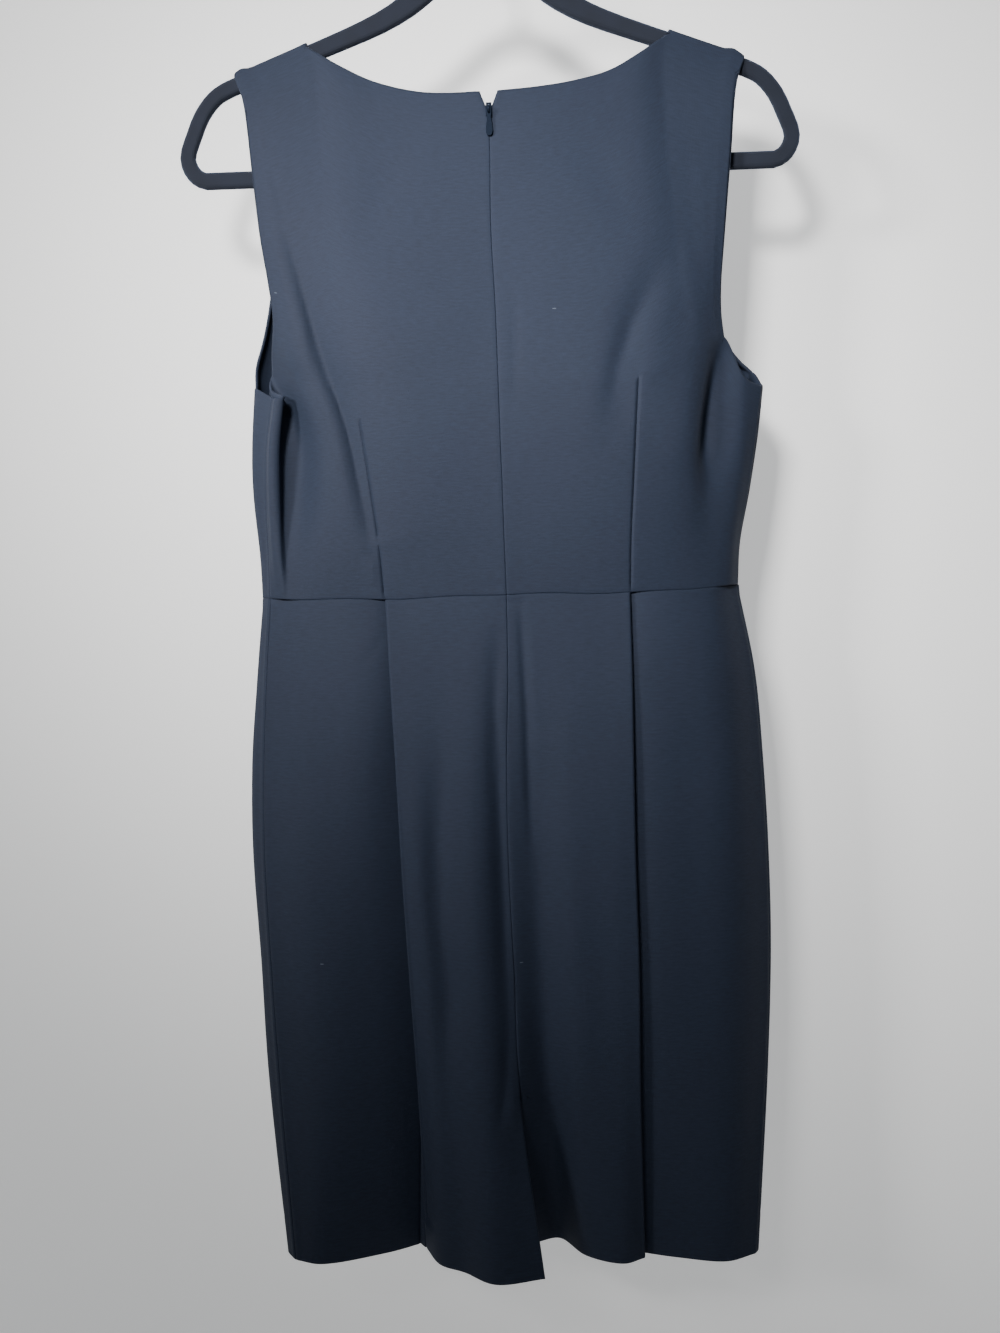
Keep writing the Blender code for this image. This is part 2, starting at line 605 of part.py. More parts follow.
def make_material(name, colour, roughness, metallic=0.0, sheen=0.0):
    material = bpy.data.materials.new(name)
    material.use_nodes = True
    shader = material.node_tree.nodes["Principled BSDF"]
    shader.inputs["Base Color"].default_value = (*colour, 1.0)
    shader.inputs["Roughness"].default_value = roughness
    shader.inputs["Metallic"].default_value = metallic
    shader.inputs["Sheen Weight"].default_value = sheen
    material.diffuse_color = (*colour, 1.0)
    return material


def add_object(name, mesh, collection, material):
    item = bpy.data.objects.new(name, mesh)
    collection.objects.link(item)
    mesh.materials.append(material)
    mesh.shade_smooth()
    return item


def cloth_panel(name, rows, collection, material, wall=WALL):
    """A panel from its rows of points, hem or waist first, thickened evenly about its middle."""
    sheet = bmesh.new()
    grid = [[None if point is None else sheet.verts.new(point * MM) for point in row] for row in rows]
    for low, high in zip(grid, grid[1:]):
        for k in range(len(low) - 1):
            corners = (low[k], low[k + 1], high[k + 1], high[k])
            if all(corners):
                sheet.faces.new(corners)
    mesh = bpy.data.meshes.new(name)
    sheet.to_mesh(mesh)
    sheet.free()
    panel = add_object(name, mesh, collection, material)
    solid = panel.modifiers.new("wall", "SOLIDIFY")
    solid.thickness = wall * MM
    solid.offset = 0.0
    return panel


def hanger_sections():
    """Closed centre line of the hanger; each point holds x, half breadth and height."""
    right = [Vector((x, breadth, z)) for x, z, breadth in HANGER]
    left = [Vector((-point.x, point.y, point.z)) for point in right[1:]]
    closed = right + left[::-1] + [right[0]]
    cells = list(HANGER_STEPS) + [3] + list(HANGER_STEPS)[::-1]
    return across(closed, cells)[:-1]


def hanger_frame(collection, cutters, material):
    """Flat loop with rounded edges, swept round the hanger's centre line, with a socketed neck."""
    line = hanger_sections()
    half_depth = HANGER_DEPTH / 2
    outline = [(math.cos(math.radians(a)), math.sin(math.radians(a))) for a in (-90, -60, -30, 0, 30, 60, 90)]
    frame = bmesh.new()
    rings = []
    for k, point in enumerate(line):
        ahead, behind = line[(k + 1) % len(line)], line[k - 1]
        run = Vector((ahead.x - behind.x, 0, ahead.z - behind.z)).normalized()
        outwards = Vector((-run.z, 0, run.x))
        straight = point.y - half_depth
        ring = []
        for sign in (1, -1):
            for cosine, sine in outline:
                shift = outwards * (sign * (straight + half_depth * cosine))
                place = Vector((point.x, sign * half_depth * sine, point.z)) + shift
                ring.append(frame.verts.new(place * MM))
        rings.append(ring)
    for k, ring in enumerate(rings):
        following = rings[(k + 1) % len(rings)]
        for j in range(len(ring)):
            i = (j + 1) % len(ring)
            frame.faces.new((ring[j], ring[i], following[i], following[j]))
    bmesh.ops.recalc_face_normals(frame, faces=frame.faces[:])
    mesh = bpy.data.meshes.new("hanger_frame")
    frame.to_mesh(mesh)
    frame.free()
    item = add_object("hanger_frame", mesh, collection, material)
    neck = add_cylinder("hanger_neck_boss", BOSS_RADIUS, (0, 0, BOSS_Z), BOSS_HEIGHT, cutters)
    socket = add_cylinder("hook_socket", HOOK_WIRE + 0.35, (0, 0, SOCKET_Z), SOCKET_DEPTH, cutters)
    cut(item, neck, "UNION")
    cut(item, socket, "DIFFERENCE")
    return item


def add_cylinder(name, radius, centre, height, collection, segments=24):
    shape = bmesh.new()
    bmesh.ops.create_cone(shape, cap_ends=True, segments=segments, radius1=radius * MM,
                          radius2=radius * MM, depth=height * MM)
    bmesh.ops.translate(shape, verts=shape.verts[:], vec=Vector(centre) * MM)
    return finish_cutter(name, shape, collection)


def add_block(name, low, high, collection):
    shape = bmesh.new()
    bmesh.ops.create_cube(shape, size=1.0)
    size = Vector(high) - Vector(low)
    bmesh.ops.scale(shape, verts=shape.verts[:], vec=size * MM)
    bmesh.ops.translate(shape, verts=shape.verts[:], vec=(Vector(low) + Vector(high)) * (MM / 2))
    return finish_cutter(name, shape, collection)


def finish_cutter(name, shape, collection):
    mesh = bpy.data.meshes.new(name)
    shape.to_mesh(mesh)
    shape.free()
    item = bpy.data.objects.new(name, mesh)
    collection.objects.link(item)
    item.hide_render = True
    item.display_type = "WIRE"
    return item


def cut(item, other, operation):
    modifier = item.modifiers.new(operation.lower(), "BOOLEAN")
    modifier.operation = operation
    modifier.solver = "EXACT"
    modifier.object = other
    return modifier


def wire(name, path, radius, collection, material):
    """Round wire along a list of points, with filled ends."""
    curve = bpy.data.curves.new(name, "CURVE")
    curve.dimensions = "3D"
    curve.bevel_depth = radius * MM
    curve.bevel_resolution = 2
    curve.use_fill_caps = True
    spline = curve.splines.new("POLY")
    spline.points.add(len(path) - 1)
    for point, place in zip(spline.points, path):
        point.co = (*(place * MM), 1.0)
    item = bpy.data.objects.new(name, curve)
    collection.objects.link(item)
    curve.materials.append(material)
    return item


def circle_arc(centre, radius, start, end, steps):
    """Points of an arc in the XZ plane, angles in degrees from +X."""
    points = []
    for k in range(steps + 1):
        angle = math.radians(lerp(start, end, k / steps))
        points.append(centre + Vector((math.cos(angle), 0, math.sin(angle))) * radius)
    return points


def hanger_hook(collection, material):
    """Wire hook: its stem stands in the neck's socket and its bend hangs on the origin."""
    stem = [Vector((0, 0, z)) for z in HOOK_STEM]
    offset = circle_arc(Vector((-HOOK_OFFSET_RADIUS, 0, HOOK_OFFSET_Z)), HOOK_OFFSET_RADIUS, 0, 45, 4)
    bend = circle_arc(Vector((0, 0, -HOOK_BEND)), HOOK_BEND + HOOK_WIRE, *HOOK_ANGLES, 22)
    return wire("hanger_hook", stem + offset + bend, HOOK_WIRE, collection, material)


def slider_frame():
    """Place and lean of the zip slider: on the centre back line, square to the cloth."""
    line = vectors(CENTRE_BACK_UPPER)
    samples = [along(line, k / 50 * (len(line) - 1)) for k in range(51)]
    k = next(i for i in range(50) if samples[i + 1].z >= ZIP_SLIDER_Z)
    run = samples[k + 1] - samples[k]
    here = samples[k] + run * ((ZIP_SLIDER_Z - samples[k].z) / run.z)
    lean = math.atan2(run.y, run.z)
    outwards = Vector((0, -math.cos(lean), math.sin(lean)))
    axis = here + outwards * (WALL / 2 + SLIDER_STAND_OFF)
    return axis, lean


def place_on_cloth(item):
    axis, lean = slider_frame()
    item.location = axis * MM
    item.rotation_euler = (-lean, 0, 0)


def zip_slider(collection, cutters, material):
    """Slider: a front plate with the pull's bridge, a neck in the notch and a back shoe."""
    path = [Vector((0, BRIDGE_FOOT, BRIDGE_RADIUS))]
    for k in range(9):
        angle = math.radians(90 + 180 * k / 8)
        path.append(Vector((0, math.cos(angle), math.sin(angle))) * BRIDGE_RADIUS)
    path.append(Vector((0, BRIDGE_FOOT, -BRIDGE_RADIUS)))
    bridge = wire("slider_bridge", path, BRIDGE_WIRE, cutters, material)
    bridge_mesh = solid_mesh(bridge)
    bpy.data.objects.remove(bridge)
    item = add_object("zip_slider", bridge_mesh, collection, material)
    for name, low, high in SLIDER_BLOCKS:
        block = add_block(name, low, high, cutters)
        block.parent = item
        cut(item, block, "UNION")
    place_on_cloth(item)
    return item


def solid_mesh(curve_item):
    """Closed mesh of a curve object, with its end caps welded on."""
    graph = bpy.context.evaluated_depsgraph_get()
    mesh = bpy.data.meshes.new_from_object(curve_item.evaluated_get(graph))
    shape = bmesh.new()
    shape.from_mesh(mesh)
    bmesh.ops.remove_doubles(shape, verts=shape.verts[:], dist=0.00001)
    shape.to_mesh(mesh)
    shape.free()
    mesh.materials.clear()
    return mesh


def mirrored_outline(half):
    """Closed outline from its right half, which runs from top to bottom on X = 0."""
    return list(half) + [(-x, z) for x, z in half[-2:0:-1]]


def zip_pull_tab(collection, material):
    """Teardrop pull: a flat plate with an eye round the slider's bridge, origin on its axis."""
    curve = bpy.data.curves.new("zip_pull_tab", "CURVE")
    curve.dimensions = "2D"
    curve.fill_mode = "BOTH"
    curve.extrude = PULL_WALL / 2 * MM
    for half in (PULL_OUTLINE, PULL_EYE):
        outline = mirrored_outline(half)
        spline = curve.splines.new("POLY")
        spline.use_cyclic_u = True
        spline.points.add(len(outline) - 1)
        for point, (x, z) in zip(spline.points, outline):
            point.co = (x * MM, z * MM, 0, 1)
    item = bpy.data.objects.new("zip_pull_tab", curve)
    collection.objects.link(item)
    curve.materials.append(material)
    place_on_cloth(item)
    item.rotation_euler.x += math.radians(90 + PULL_LEAN)
    return item


def build():
    for item in list(bpy.data.objects):
        bpy.data.objects.remove(item)
    dress = bpy.data.collections.new("sheath_dress_on_hanger")
    cutters = bpy.data.collections.new("cutters")
    for collection in (dress, cutters):
        bpy.context.scene.collection.children.link(collection)

    navy = make_material("navy_double_knit", (0.018, 0.024, 0.036), 0.8, sheen=0.5)
    tape = make_material("navy_zip_tape", (0.012, 0.015, 0.024), 0.85)
    enamel = make_material("black_enamelled_metal", (0.012, 0.012, 0.016), 0.25, 0.6)
    flock = make_material("black_flock", (0.012, 0.013, 0.018), 0.95, sheen=0.6)
    steel = make_material("bright_steel_wire", (0.7, 0.7, 0.72), 0.2, 1.0)

    bodice_left, bodice_right = back_bodice(-1), back_bodice(1)
    skirt_left, skirt_right = skirt_back(-1), skirt_back(1)
    cloth_panel("bodice_back_left", bodice_left, dress, navy)
    cloth_panel("bodice_back_right", bodice_right, dress, navy.copy())
    cloth_panel("bodice_front", front_bodice(), dress, navy.copy())
    cloth_panel("skirt_back_left", skirt_left, dress, navy.copy())
    cloth_panel("skirt_back_right", skirt_right, dress, navy.copy())
    cloth_panel("skirt_front", skirt_front(), dress, navy.copy())
    cloth_panel("zip_tape_left", zip_tape(-1, bodice_left, skirt_left), dress, tape, TAPE_WALL)
    cloth_panel("zip_tape_right", zip_tape(1, bodice_right, skirt_right), dress, tape.copy(), TAPE_WALL)
    zip_slider(dress, cutters, enamel)
    zip_pull_tab(dress, enamel.copy())
    hanger_frame(dress, cutters, flock)
    hanger_hook(dress, steel)


build()
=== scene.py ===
import math

import bmesh
import bpy
from mathutils import Matrix, Vector, noise


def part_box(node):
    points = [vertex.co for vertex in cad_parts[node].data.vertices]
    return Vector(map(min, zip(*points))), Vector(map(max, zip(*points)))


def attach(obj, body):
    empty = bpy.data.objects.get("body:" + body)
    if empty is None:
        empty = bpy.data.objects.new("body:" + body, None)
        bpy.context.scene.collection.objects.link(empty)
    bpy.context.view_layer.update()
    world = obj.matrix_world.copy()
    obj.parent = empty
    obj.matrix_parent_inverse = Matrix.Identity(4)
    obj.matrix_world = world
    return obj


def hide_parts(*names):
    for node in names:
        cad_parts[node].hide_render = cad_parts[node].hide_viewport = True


print("loading the frame")
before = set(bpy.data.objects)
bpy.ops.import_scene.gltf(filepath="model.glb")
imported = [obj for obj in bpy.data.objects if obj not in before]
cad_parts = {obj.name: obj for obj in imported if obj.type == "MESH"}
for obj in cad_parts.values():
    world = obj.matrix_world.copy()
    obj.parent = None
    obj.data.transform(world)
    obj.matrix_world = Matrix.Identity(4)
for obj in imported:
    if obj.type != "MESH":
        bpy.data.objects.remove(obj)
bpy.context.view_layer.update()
mm = 0.001

# Lengths are millimetres down to the shader groups, and metres in looks, camera and stage.
# The garment's back faces -Y.
cloth = {
    "wall": 1.15,             # thickness of the double knit
    "fineness": 5,            # grid cells for each cell of the plain solid
    "seamGap": 0.06,
    "seamMargin": 2.2,
    "seamPress": 0.12,        # how far two turned edges press into each other
    "seamRadius": 0.34,       # the cloth's middle where a sewn edge turns in
    "foldRadius": 0.60,       # the same where a free edge turns back
    "turnSteps": 4,           # faces round either turn
    "seamAllowance": 2.6,     # cloth turned in at a seam
    "zipAllowance": 0.8,      # the same beside the zip
    "turning": 5.0,           # cloth turned back at a free edge
    "turnedMap": 0.0007,      # how far the weave's map runs on over each of those faces, in metres
    "pleatRadius": 1.15,
    "unevenness": 0.26,       # slow waves of a hanging cloth
    "waveLengths": (55, 24),
    "pucker": 0.12,           # ripples beside the zip and the waist seam
    "puckerReach": 9,
    "waistRipple": 5,
    "zipRipple": 6,
    "zipX": 4,
    "hemDepth": 27.0,         # blind hem's line above the edge
    "hemSink": 0.16,
    "hemLine": 1.6,           # half width of that line
}

# Waist darts: the height of the tip, and how far the sewn line sinks in.
darts = {
    "left": {"end": -418, "sink": 0.035},
    "right": {"end": -398, "sink": 0.08},
}
dartLine = {
    "cells": 6,               # from the dart to the centre back
    "width": 0.4,             # the grid is split this far from the line on both sides
    "near": 0.1,              # what lies nearer than this sinks in
    "rowReach": 3,
    "fade": 70,               # below the tip
}

zipTapes = {
    "endZ": -656.0, "topZ": -209.5,
    "inset": 0.3, "width": 7.5, "wall": 0.5, "cells": 3,
    "depth": 1.75,            # tape's middle behind the cloth's
    "threads": 900.0, "weaveBump": 0.4,
}
zipTeeth = {
    "pitch": 1.5, "size": (2.6, 1.0, 0.9), "rounding": 0.12,
    "hook": 0.35,             # to the left and the right in turn
    "depth": 2.6,
}

# Bodice guide lines: waist, low, middle, bust and underarm.
bodiceLines = {
    "seamLeft": ((-162, -12, -540), (-162.3, -12, -506), (-163.3, -12, -470),
                 (-162, -12, -434), (-157, -12, -398)),
    "lipLeft": ((-155, -17, -542), (-157, -18.5, -508), (-158, -19, -470),
                (-157.2, -19.5, -434), (-152.5, -19.5, -400.5)),
    "turnLeft": ((-151, -19.4, -543), (-152.6, -19.6, -509), (-153, -18.4, -470),
                 (-152, -18.6, -434), (-147.6, -18.6, -399)),
    "valleyLeft": ((-146.5, -20.6, -543), (-149.5, -16.5, -509), (-151.8, -12, -470),
                   (-153.5, -11, -433), (-158, -6, -391)),
    "floorLeft": ((-139, -22.2, -543.3), (-141, -18.4, -509), (-140, -12, -470),
                  (-139.5, -9, -431), (-160.3, 0.5, -379)),
    "panelLeft": ((-125, -25.6, -544), (-121, -27, -509), (-117, -27.5, -470), (-118, -26.5, -432),
                  (-131, -23, -392)),
    "dartLeft": ((-78.4, -30.4, -544), (-81, -32.6, -509), (-86, -35, -470), (-91, -36, -434),
                 (-96, -36, -398)),
    "centreBack": ((5.8, -33, -544), (5.3, -34, -509), (4.9, -35, -470), (4.4, -36, -434),
                   (4, -36, -398)),
    "dartRight": ((90.9, -30.4, -544), (92, -32.6, -509), (94.5, -35, -470), (97, -37, -432),
                  (99.5, -37, -398)),
    "panelRight": ((126, -25.6, -544), (126, -27.6, -509), (133, -28.5, -470), (139.5, -29, -430),
                   (149, -22, -372)),
    "valleyRight": ((146, -20.5, -543), (146, -20.5, -509), (147, -19.5, -470), (146.5, -15, -430),
                    (162.8, -12, -366)),
    "lipRight": ((161, -13, -541.5), (163.5, -12.5, -508), (169, -12, -470), (174, -10.5, -431),
                 (177, -10, -394)),
    "seamRight": ((169.2, -2, -539.5), (171.4, -2, -508), (178.8, -2, -472),
                  (185.3, -2, -434), (190.3, -2, -398)),
    "sideRight": ((167.2, 7, -539.5), (171.4, 7, -508), (178, 8, -472), (185, 8, -434),
                  (186.5, 7, -386)),
    "frontRight": ((152, 15, -541), (156, 18, -508), (162, 21, -468),
                   (168, 22, -430), (172, 20, -380)),
    "bustRight": ((90, 24, -544), (88, 31, -509), (86, 38, -470),
                  (85, 42, -432), (86, 41, -398)),
    "centreFront": ((4, 25, -544), (4, 29, -509), (4, 33, -470),
                    (4, 35, -434), (4, 34, -398)),
    "bustLeft": ((-82, 24, -544), (-80, 31, -509), (-78, 38, -470),
                 (-77, 42, -432), (-78, 41, -398)),
    "frontLeft": ((-152, 15, -541), (-154, 18, -508), (-157, 21, -468),
                  (-160, 22, -430), (-161, 21, -390)),
    "sideLeft": ((-169.8, -1, -538), (-171.3, 0, -508), (-175.2, 1, -465),
                 (-175.6, 2, -430), (-173.4, 5, -386)),
}

# Edges of the upper bodice, from the underarm up to the shoulder or the neck.
armholeLines = {
    "backLeft": ((-160.3, 0.5, -379), (-158, -7.5, -364), (-155.2, -13, -345), (-157.6, -14, -320),
                 (-163, -13, -285), (-168.3, -10, -237), (-174.5, -7, -183)),
    "backRight": ((162.8, -12, -366), (161.2, -12.6, -350), (161.5, -13.3, -330),
                  (165, -13, -295), (171.5, -10, -237), (177.7, -7, -184)),
    "frontLeft": ((-173.4, 5, -386), (-174, 9, -371), (-168, 12, -346), (-163, 13, -318),
                  (-161.5, 13, -285), (-166, 10, -237), (-174, 7, -185)),
    "frontRight": ((186.5, 7, -386), (178, 9.5, -376.5), (169, 11, -362), (163.5, 13, -335),
                   (162.5, 13, -295), (169, 10, -237), (177, 7, -184)),
}
upperCentreBack = ((4, -36, -398), (3.2, -31, -345), (1.5, -25, -290), (1.9, -18.5, -235),
                   (1.9, -13.5, -187.3))
necklines = {
    "backLeft": ((-111, -8, -157.6), (-82, -10.8, -174.8), (-50, -12.6, -185.0),
                 (-28, -13.2, -187.4), (1.9, -13.5, -188.8)),
    "backRight": ((115, -8, -158), (89, -10.8, -174), (64, -12.3, -181.4),
                  (37, -13.2, -185.4), (1.9, -13.5, -187.6)),
    "front": ((117, 8, -162), (92, 11, -183), (60, 13.3, -197), (30, 14.3, -203.5),
              (2, 14.6, -205), (-27, 14.3, -203.5), (-57, 13.3, -197), (-89, 11, -183),
              (-114, 8, -162)),
}
# Rows of the upper bodice as shares of those edges' lengths. The bend draws them to the shoulder.
upperShares = (0, 0.08, 0.17, 0.27, 0.38, 0.5, 0.62, 0.73, 0.82, 0.9, 0.925, 0.95, 0.975, 1.0)
upperBend = 1.5

shoulder = {
    "neck": {"left": -128.0, "right": 131.0},
    "end": {"left": -181.0, "right": 184.0},
    "shares": (0.0, 0.1, 0.2, 0.42, 0.72, 1.0),
    "hangerDepth": 5.2,
    "clearance": 0.4,
    "armTop": -138.6,         # upper edge of the hanger's arm at armStart
    "armStart": 119.0,
    "armFall": 0.3925,
    "ridgeAngles": (74, 50, 34, 20, 9, 1.5),
    # where the cloth stands off the arm: height, distance from the middle and half width
    "bumps": ((0.3, 129.5, 3.5), (2.1, 176.5, 4.5)),
}
shoulderRadius = shoulder["hangerDepth"] / 2 + shoulder["clearance"] + cloth["wall"] / 2

# Guide lines across each panel, with the cells from each to the next.
bodiceBackAcross = {
    "left": (("seamLeft", 3), ("lipLeft", 1), ("turnLeft", 3), ("valleyLeft", 2), ("floorLeft", 3),
             ("panelLeft", 4), ("dartLeft", dartLine["cells"]), ("centreBack", 0)),
    "right": (("seamRight", 3), ("lipRight", 4), ("valleyRight", 4), ("panelRight", 4),
              ("dartRight", dartLine["cells"]), ("centreBack", 0)),
}
armholeFoot = {"left": "floorLeft", "right": "valleyRight"}
bodiceFrontAcross = (("seamRight", 3), ("sideRight", 3), ("frontRight", 5), ("bustRight", 5),
                     ("centreFront", 5), ("bustLeft", 5), ("frontLeft", 3), ("sideLeft", 4),
                     ("seamLeft", 0))
skirtFrontAcross = (("seamRight", 3), ("sideRight", 3), ("frontRight", 4), ("thighRight", 4),
                    ("centreFront", 4), ("thighLeft", 4), ("frontLeft", 3), ("sideLeft", 4),
                    ("seamLeft", 0))

waistSeam = {
    "height": -544.3,
    "sideRise": 4.5, "sideX": 170,          # it curves up towards the side seams
    "slowWave": 0.5, "slowLength": 23, "slowStart": 1.1,
    "quickWave": 0.4, "quickLength": 11,
}

zipNotch = {"topHalf": 6.3, "midHalf": 2.2, "midZ": -198.3, "endZ": -208.0, "neckZ": -187.3}

skirtLevels = (-544.5, -600, -660, -725, -800, -887, -1003)
ventLevel = 5
skirtRows = [0, 0.35] + [0.5 * k for k in range(2, 11)] + [5.13, 5.35, 5.6, 5.8, 6]
underlap = {
    "width": 36.0,
    "topShare": 0.72,         # of that width at the vent's top
    "spread": 0.35,           # levels down to where it has its whole width
    "topFall": 8.0,           # its top edge slopes down away from the centre
    "bow": 2.0,
    "cells": 4,
}
skirtBackCells = {"side": (4, 3, 4), "tuck": (2,), "centre": (2, 2, 3, 2)}
tuckLead = 0.3                # how far towards its inner fold the cloth has turned under the pleat
pleatInside = {"y": -24, "left": -75, "right": 85}      # a pleat's inner layers lie further in than y
edgePlaces = {
    "pleatsLeft": -100, "pleatsRight": 120,
    "inward": -0.3,           # a normal past this belongs to a pleat's inner layers
    "centre": 30,             # what is nearer to the middle is a centre-back edge
}
skirtLines = {
    "seamLeft": ((-162, -12), (-166, -13), (-169, -14), (-169.8, -15), (-167, -16),
                 (-162.5, -17), (-153, -24)),
    "sideBackLeft": ((-128, -25), (-128, -29), (-130, -32), (-132, -34), (-130, -33), (-128, -30),
                     (-134, -30)),
    "pleatWayLeft": ((-86, -28.8), (-86.5, -32.6), (-94, -34.2), (-97, -33), (-95, -29),
                     (-93, -24), (-90, -17)),
    "tuckLeft": ((-54, -20), (-52, -21), (-53, -20), (-56, -19), (-59, -16),
                 (-63, -12), (-68, -6)),
    "pleatLeft": ((-77.5, -30.3), (-75, -35.8), (-72, -41), (-69.8, -42), (-66.8, -39),
                  (-63.8, -30), (-62.5, -11)),
    "rollLeft": ((-64, -31.6), (-62, -36.9), (-59, -42.5), (-57, -45), (-54, -44), (-52, -41),
                 (-51.5, -32)),
    "dipLeft": ((-42, -32.6), (-42, -37), (-42, -42), (-44, -43.5), (-41, -43.5), (-40, -44),
                (-34.5, -41)),
    "ridgeLeft": ((-18, -33), (-18, -37.8), (-19, -43.4), (-20, -46.6), (-18, -48), (-15, -50),
                  (-13, -55)),
    "flap": ((5.8, -33), (5.3, -36), (3, -38.5), (2.5, -39), (4.3, -39), (6.5, -40), (20.1, -49)),
    "under": ((5.8, -33), (5.3, -36), (3, -38.5), (2.5, -39), (4.3, -38.6), (6.5, -37), (15, -6)),
    "valleyRight": ((22, -32.6), (22, -35.7), (20, -37), (20, -36.5), (22, -34), (26, -27),
                    (31, -1)),
    "riseRight": ((46, -32.4), (46, -36.8), (46, -40.6), (46, -42), (47, -41), (48, -37),
                  (49, -23)),
    "rollRight": ((73, -31.5), (73, -36.7), (73, -41.2), (73, -43), (73, -42), (73, -39),
                  (74, -33)),
    "pleatRight": ((90, -30.3), (89.6, -35.8), (88.5, -40), (88, -41), (88.6, -40), (87.7, -36),
                   (88.8, -26)),
    "tuckRight": ((66, -20), (66, -27), (66, -31), (67, -32), (68, -31),
                  (69, -26), (72, -16)),
    "pleatWayRight": ((98.5, -28.6), (98.5, -32.8), (101, -35.4), (104, -36.4), (107, -35.2),
                      (109, -31), (110, -26)),
    "sideBackRight": ((146, -21), (150, -25), (152, -27), (153, -28), (153, -28),
                      (150, -28), (144, -31.5)),
    "seamRight": ((169.2, -2), (178.5, -3), (182.4, -4), (184.4, -5), (184, -6),
                  (178.6, -9), (166.5, -21)),
    "sideRight": ((166.5, 8), (176, 8), (180, 9), (182, 9), (180.6, 8), (174.5, 4), (162.5, -8)),
    "frontRight": ((150, 15), (158, 19), (161, 22), (163, 23), (161, 22), (156, 17), (145, 7)),
    "thighRight": ((90, 24), (92, 31), (93, 35), (94, 37), (93, 36), (91, 32), (84, 26)),
    "centreFront": ((4, 25), (4, 30), (3, 33), (3, 34), (3, 33), (3, 30), (3, 25)),
    "thighLeft": ((-82, 24), (-84, 31), (-86, 35), (-87, 37), (-86, 36), (-84, 32), (-78, 26)),
    "frontLeft": ((-150, 15), (-156, 19), (-160, 22), (-160, 23), (-157, 22), (-152, 17),
                  (-140, 7)),
    "sideLeft": ((-169.8, -1), (-175.8, 0), (-181, 0), (-181.7, 0), (-177.6, -1),
                 (-173.2, -4), (-160.5, -13)),
}

# Creases: path (x, z), half width, depth and lean. A negative depth is a ridge,
# and a lean towards 1 makes the right side of a path that runs down steeper, towards -1 its left.
# A fifth value gives it a sharp bottom, wholly so at 1.
creases = {
    "bodiceBack": (
        (((-146, -274), (-137, -307), (-129.3, -337), (-122.4, -364), (-116, -384), (-109, -403.6),
          (-103.2, -423), (-98.2, -443), (-93.9, -466), (-89.8, -491), (-86, -512)), 16, 9, -1, 0.8),
        (((-142, -380), (-142, -425), (-143, -470), (-147, -515)), 10, 1.2, 0),
        (((-152, -330), (-134, -400), (-122, -470)), 9, -1.0, 0),
        (((120, -310), (97, -360), (80, -440)), 12, 2.6, 0),
        (((152, -356), (153, -376), (150, -402), (146.5, -418), (146, -436), (147, -470)),
         8, 2.9, 0.4, 0.3),
        (((112, -333), (97, -360), (86, -388), (80, -417)), 5, 1.2, 0.3),
        (((136, -300), (144, -380)), 8, -0.9, 0),
        (((17, -341), (15, -412)), 3, 0.5, 0),
        (((-60, -230), (-88, -300)), 14, 0.7, 0),
        (((70, -225), (96, -290)), 14, 0.7, 0),
        (((-16, -539), (-8, -538.5), (3, -539)), 1.8, 0.35, 0),
        (((4, -539.5), (14, -539)), 1.8, 0.3, 0),
    ),
    "bodiceFront": (
        (((-150, -330), (-104, -420)), 11, 2.8, 0.4),
        (((150, -330), (112, -420)), 11, 2.8, -0.4),
        (((-60, -240), (-96, -330)), 12, 1.4, 0),
        (((64, -240), (98, -330)), 12, 1.4, 0),
        (((-20, -260), (-8, -400)), 12, 0.9, 0),
        (((40, -470), (70, -535)), 8, 1.1, 0),
        (((-46, -470), (-72, -535)), 8, 1.1, 0),
    ),
    "skirtBack": (
        (((-1, -572), (-4, -620), (-3, -700), (-1, -860)), 5, 3.0, 0.3),
        (((15, -552), (17, -620), (18, -716)), 3.6, 2.0, -0.3),
        (((24, -640), (24, -780), (26, -940)), 11, 2.4, 0),
        (((-42, -650), (-46, -714), (-46, -764), (-39, -813), (-46, -870)), 8, 2.2, 0.3),
        (((-80, -571), (-96, -591)), 1.8, 0.5, 0),      # drag line from the left pleat
        (((-3, -549), (22, -549.5)), 1.8, 0.4, 0),
        (((-118, -600), (-124, -800)), 14, 1.0, 0),
        (((126, -600), (130, -860)), 14, 1.0, 0),
        (((-2, -840), (-4, -875), (-9, -908)), 3.4, 1.5, 0),    # beside the vent's top
        (((2, -876), (1, -906)), 3, -0.9, 0),
        (((60, -700), (64, -900)), 10, 0.9, 0),
    ),
    "skirtFront": (
        (((-48, -590), (-36, -960)), 14, 4.0, 0),
        (((50, -640), (62, -1040)), 13, 3.4, 0),
        (((-110, -620), (-104, -940)), 12, 1.6, 0),
        (((116, -600), (110, -880)), 12, 1.6, 0),
        (((2, -700), (6, -1040)), 10, 1.8, 0),
    ),
}
creaseShape = {
    "reach": 2.5,             # in half widths
    "leaning": 0.6,           # how much narrower a full lean makes one side
    "wander": 0.25, "wanderLength": 40, "seed": 3,
    "endFade": 0.6, "endShare": 0.02,
}


def vectors(points):
    return [Vector(point) for point in points]


def mix(a, b, t):
    return a + (b - a) * t


def bell(distance, width):
    return math.exp(-(distance / width) ** 2)


def smooth(t):
    t = min(max(t, 0.0), 1.0)
    return t * t * (3 - 2 * t)


def curvePoint(start, end, slopeOut, slopeIn, t):
    square, cube = t * t, t * t * t
    return (start * (2 * cube - 3 * square + 1) + slopeOut * (cube - 2 * square + t)
            + end * (3 * square - 2 * cube) + slopeIn * (cube - square))


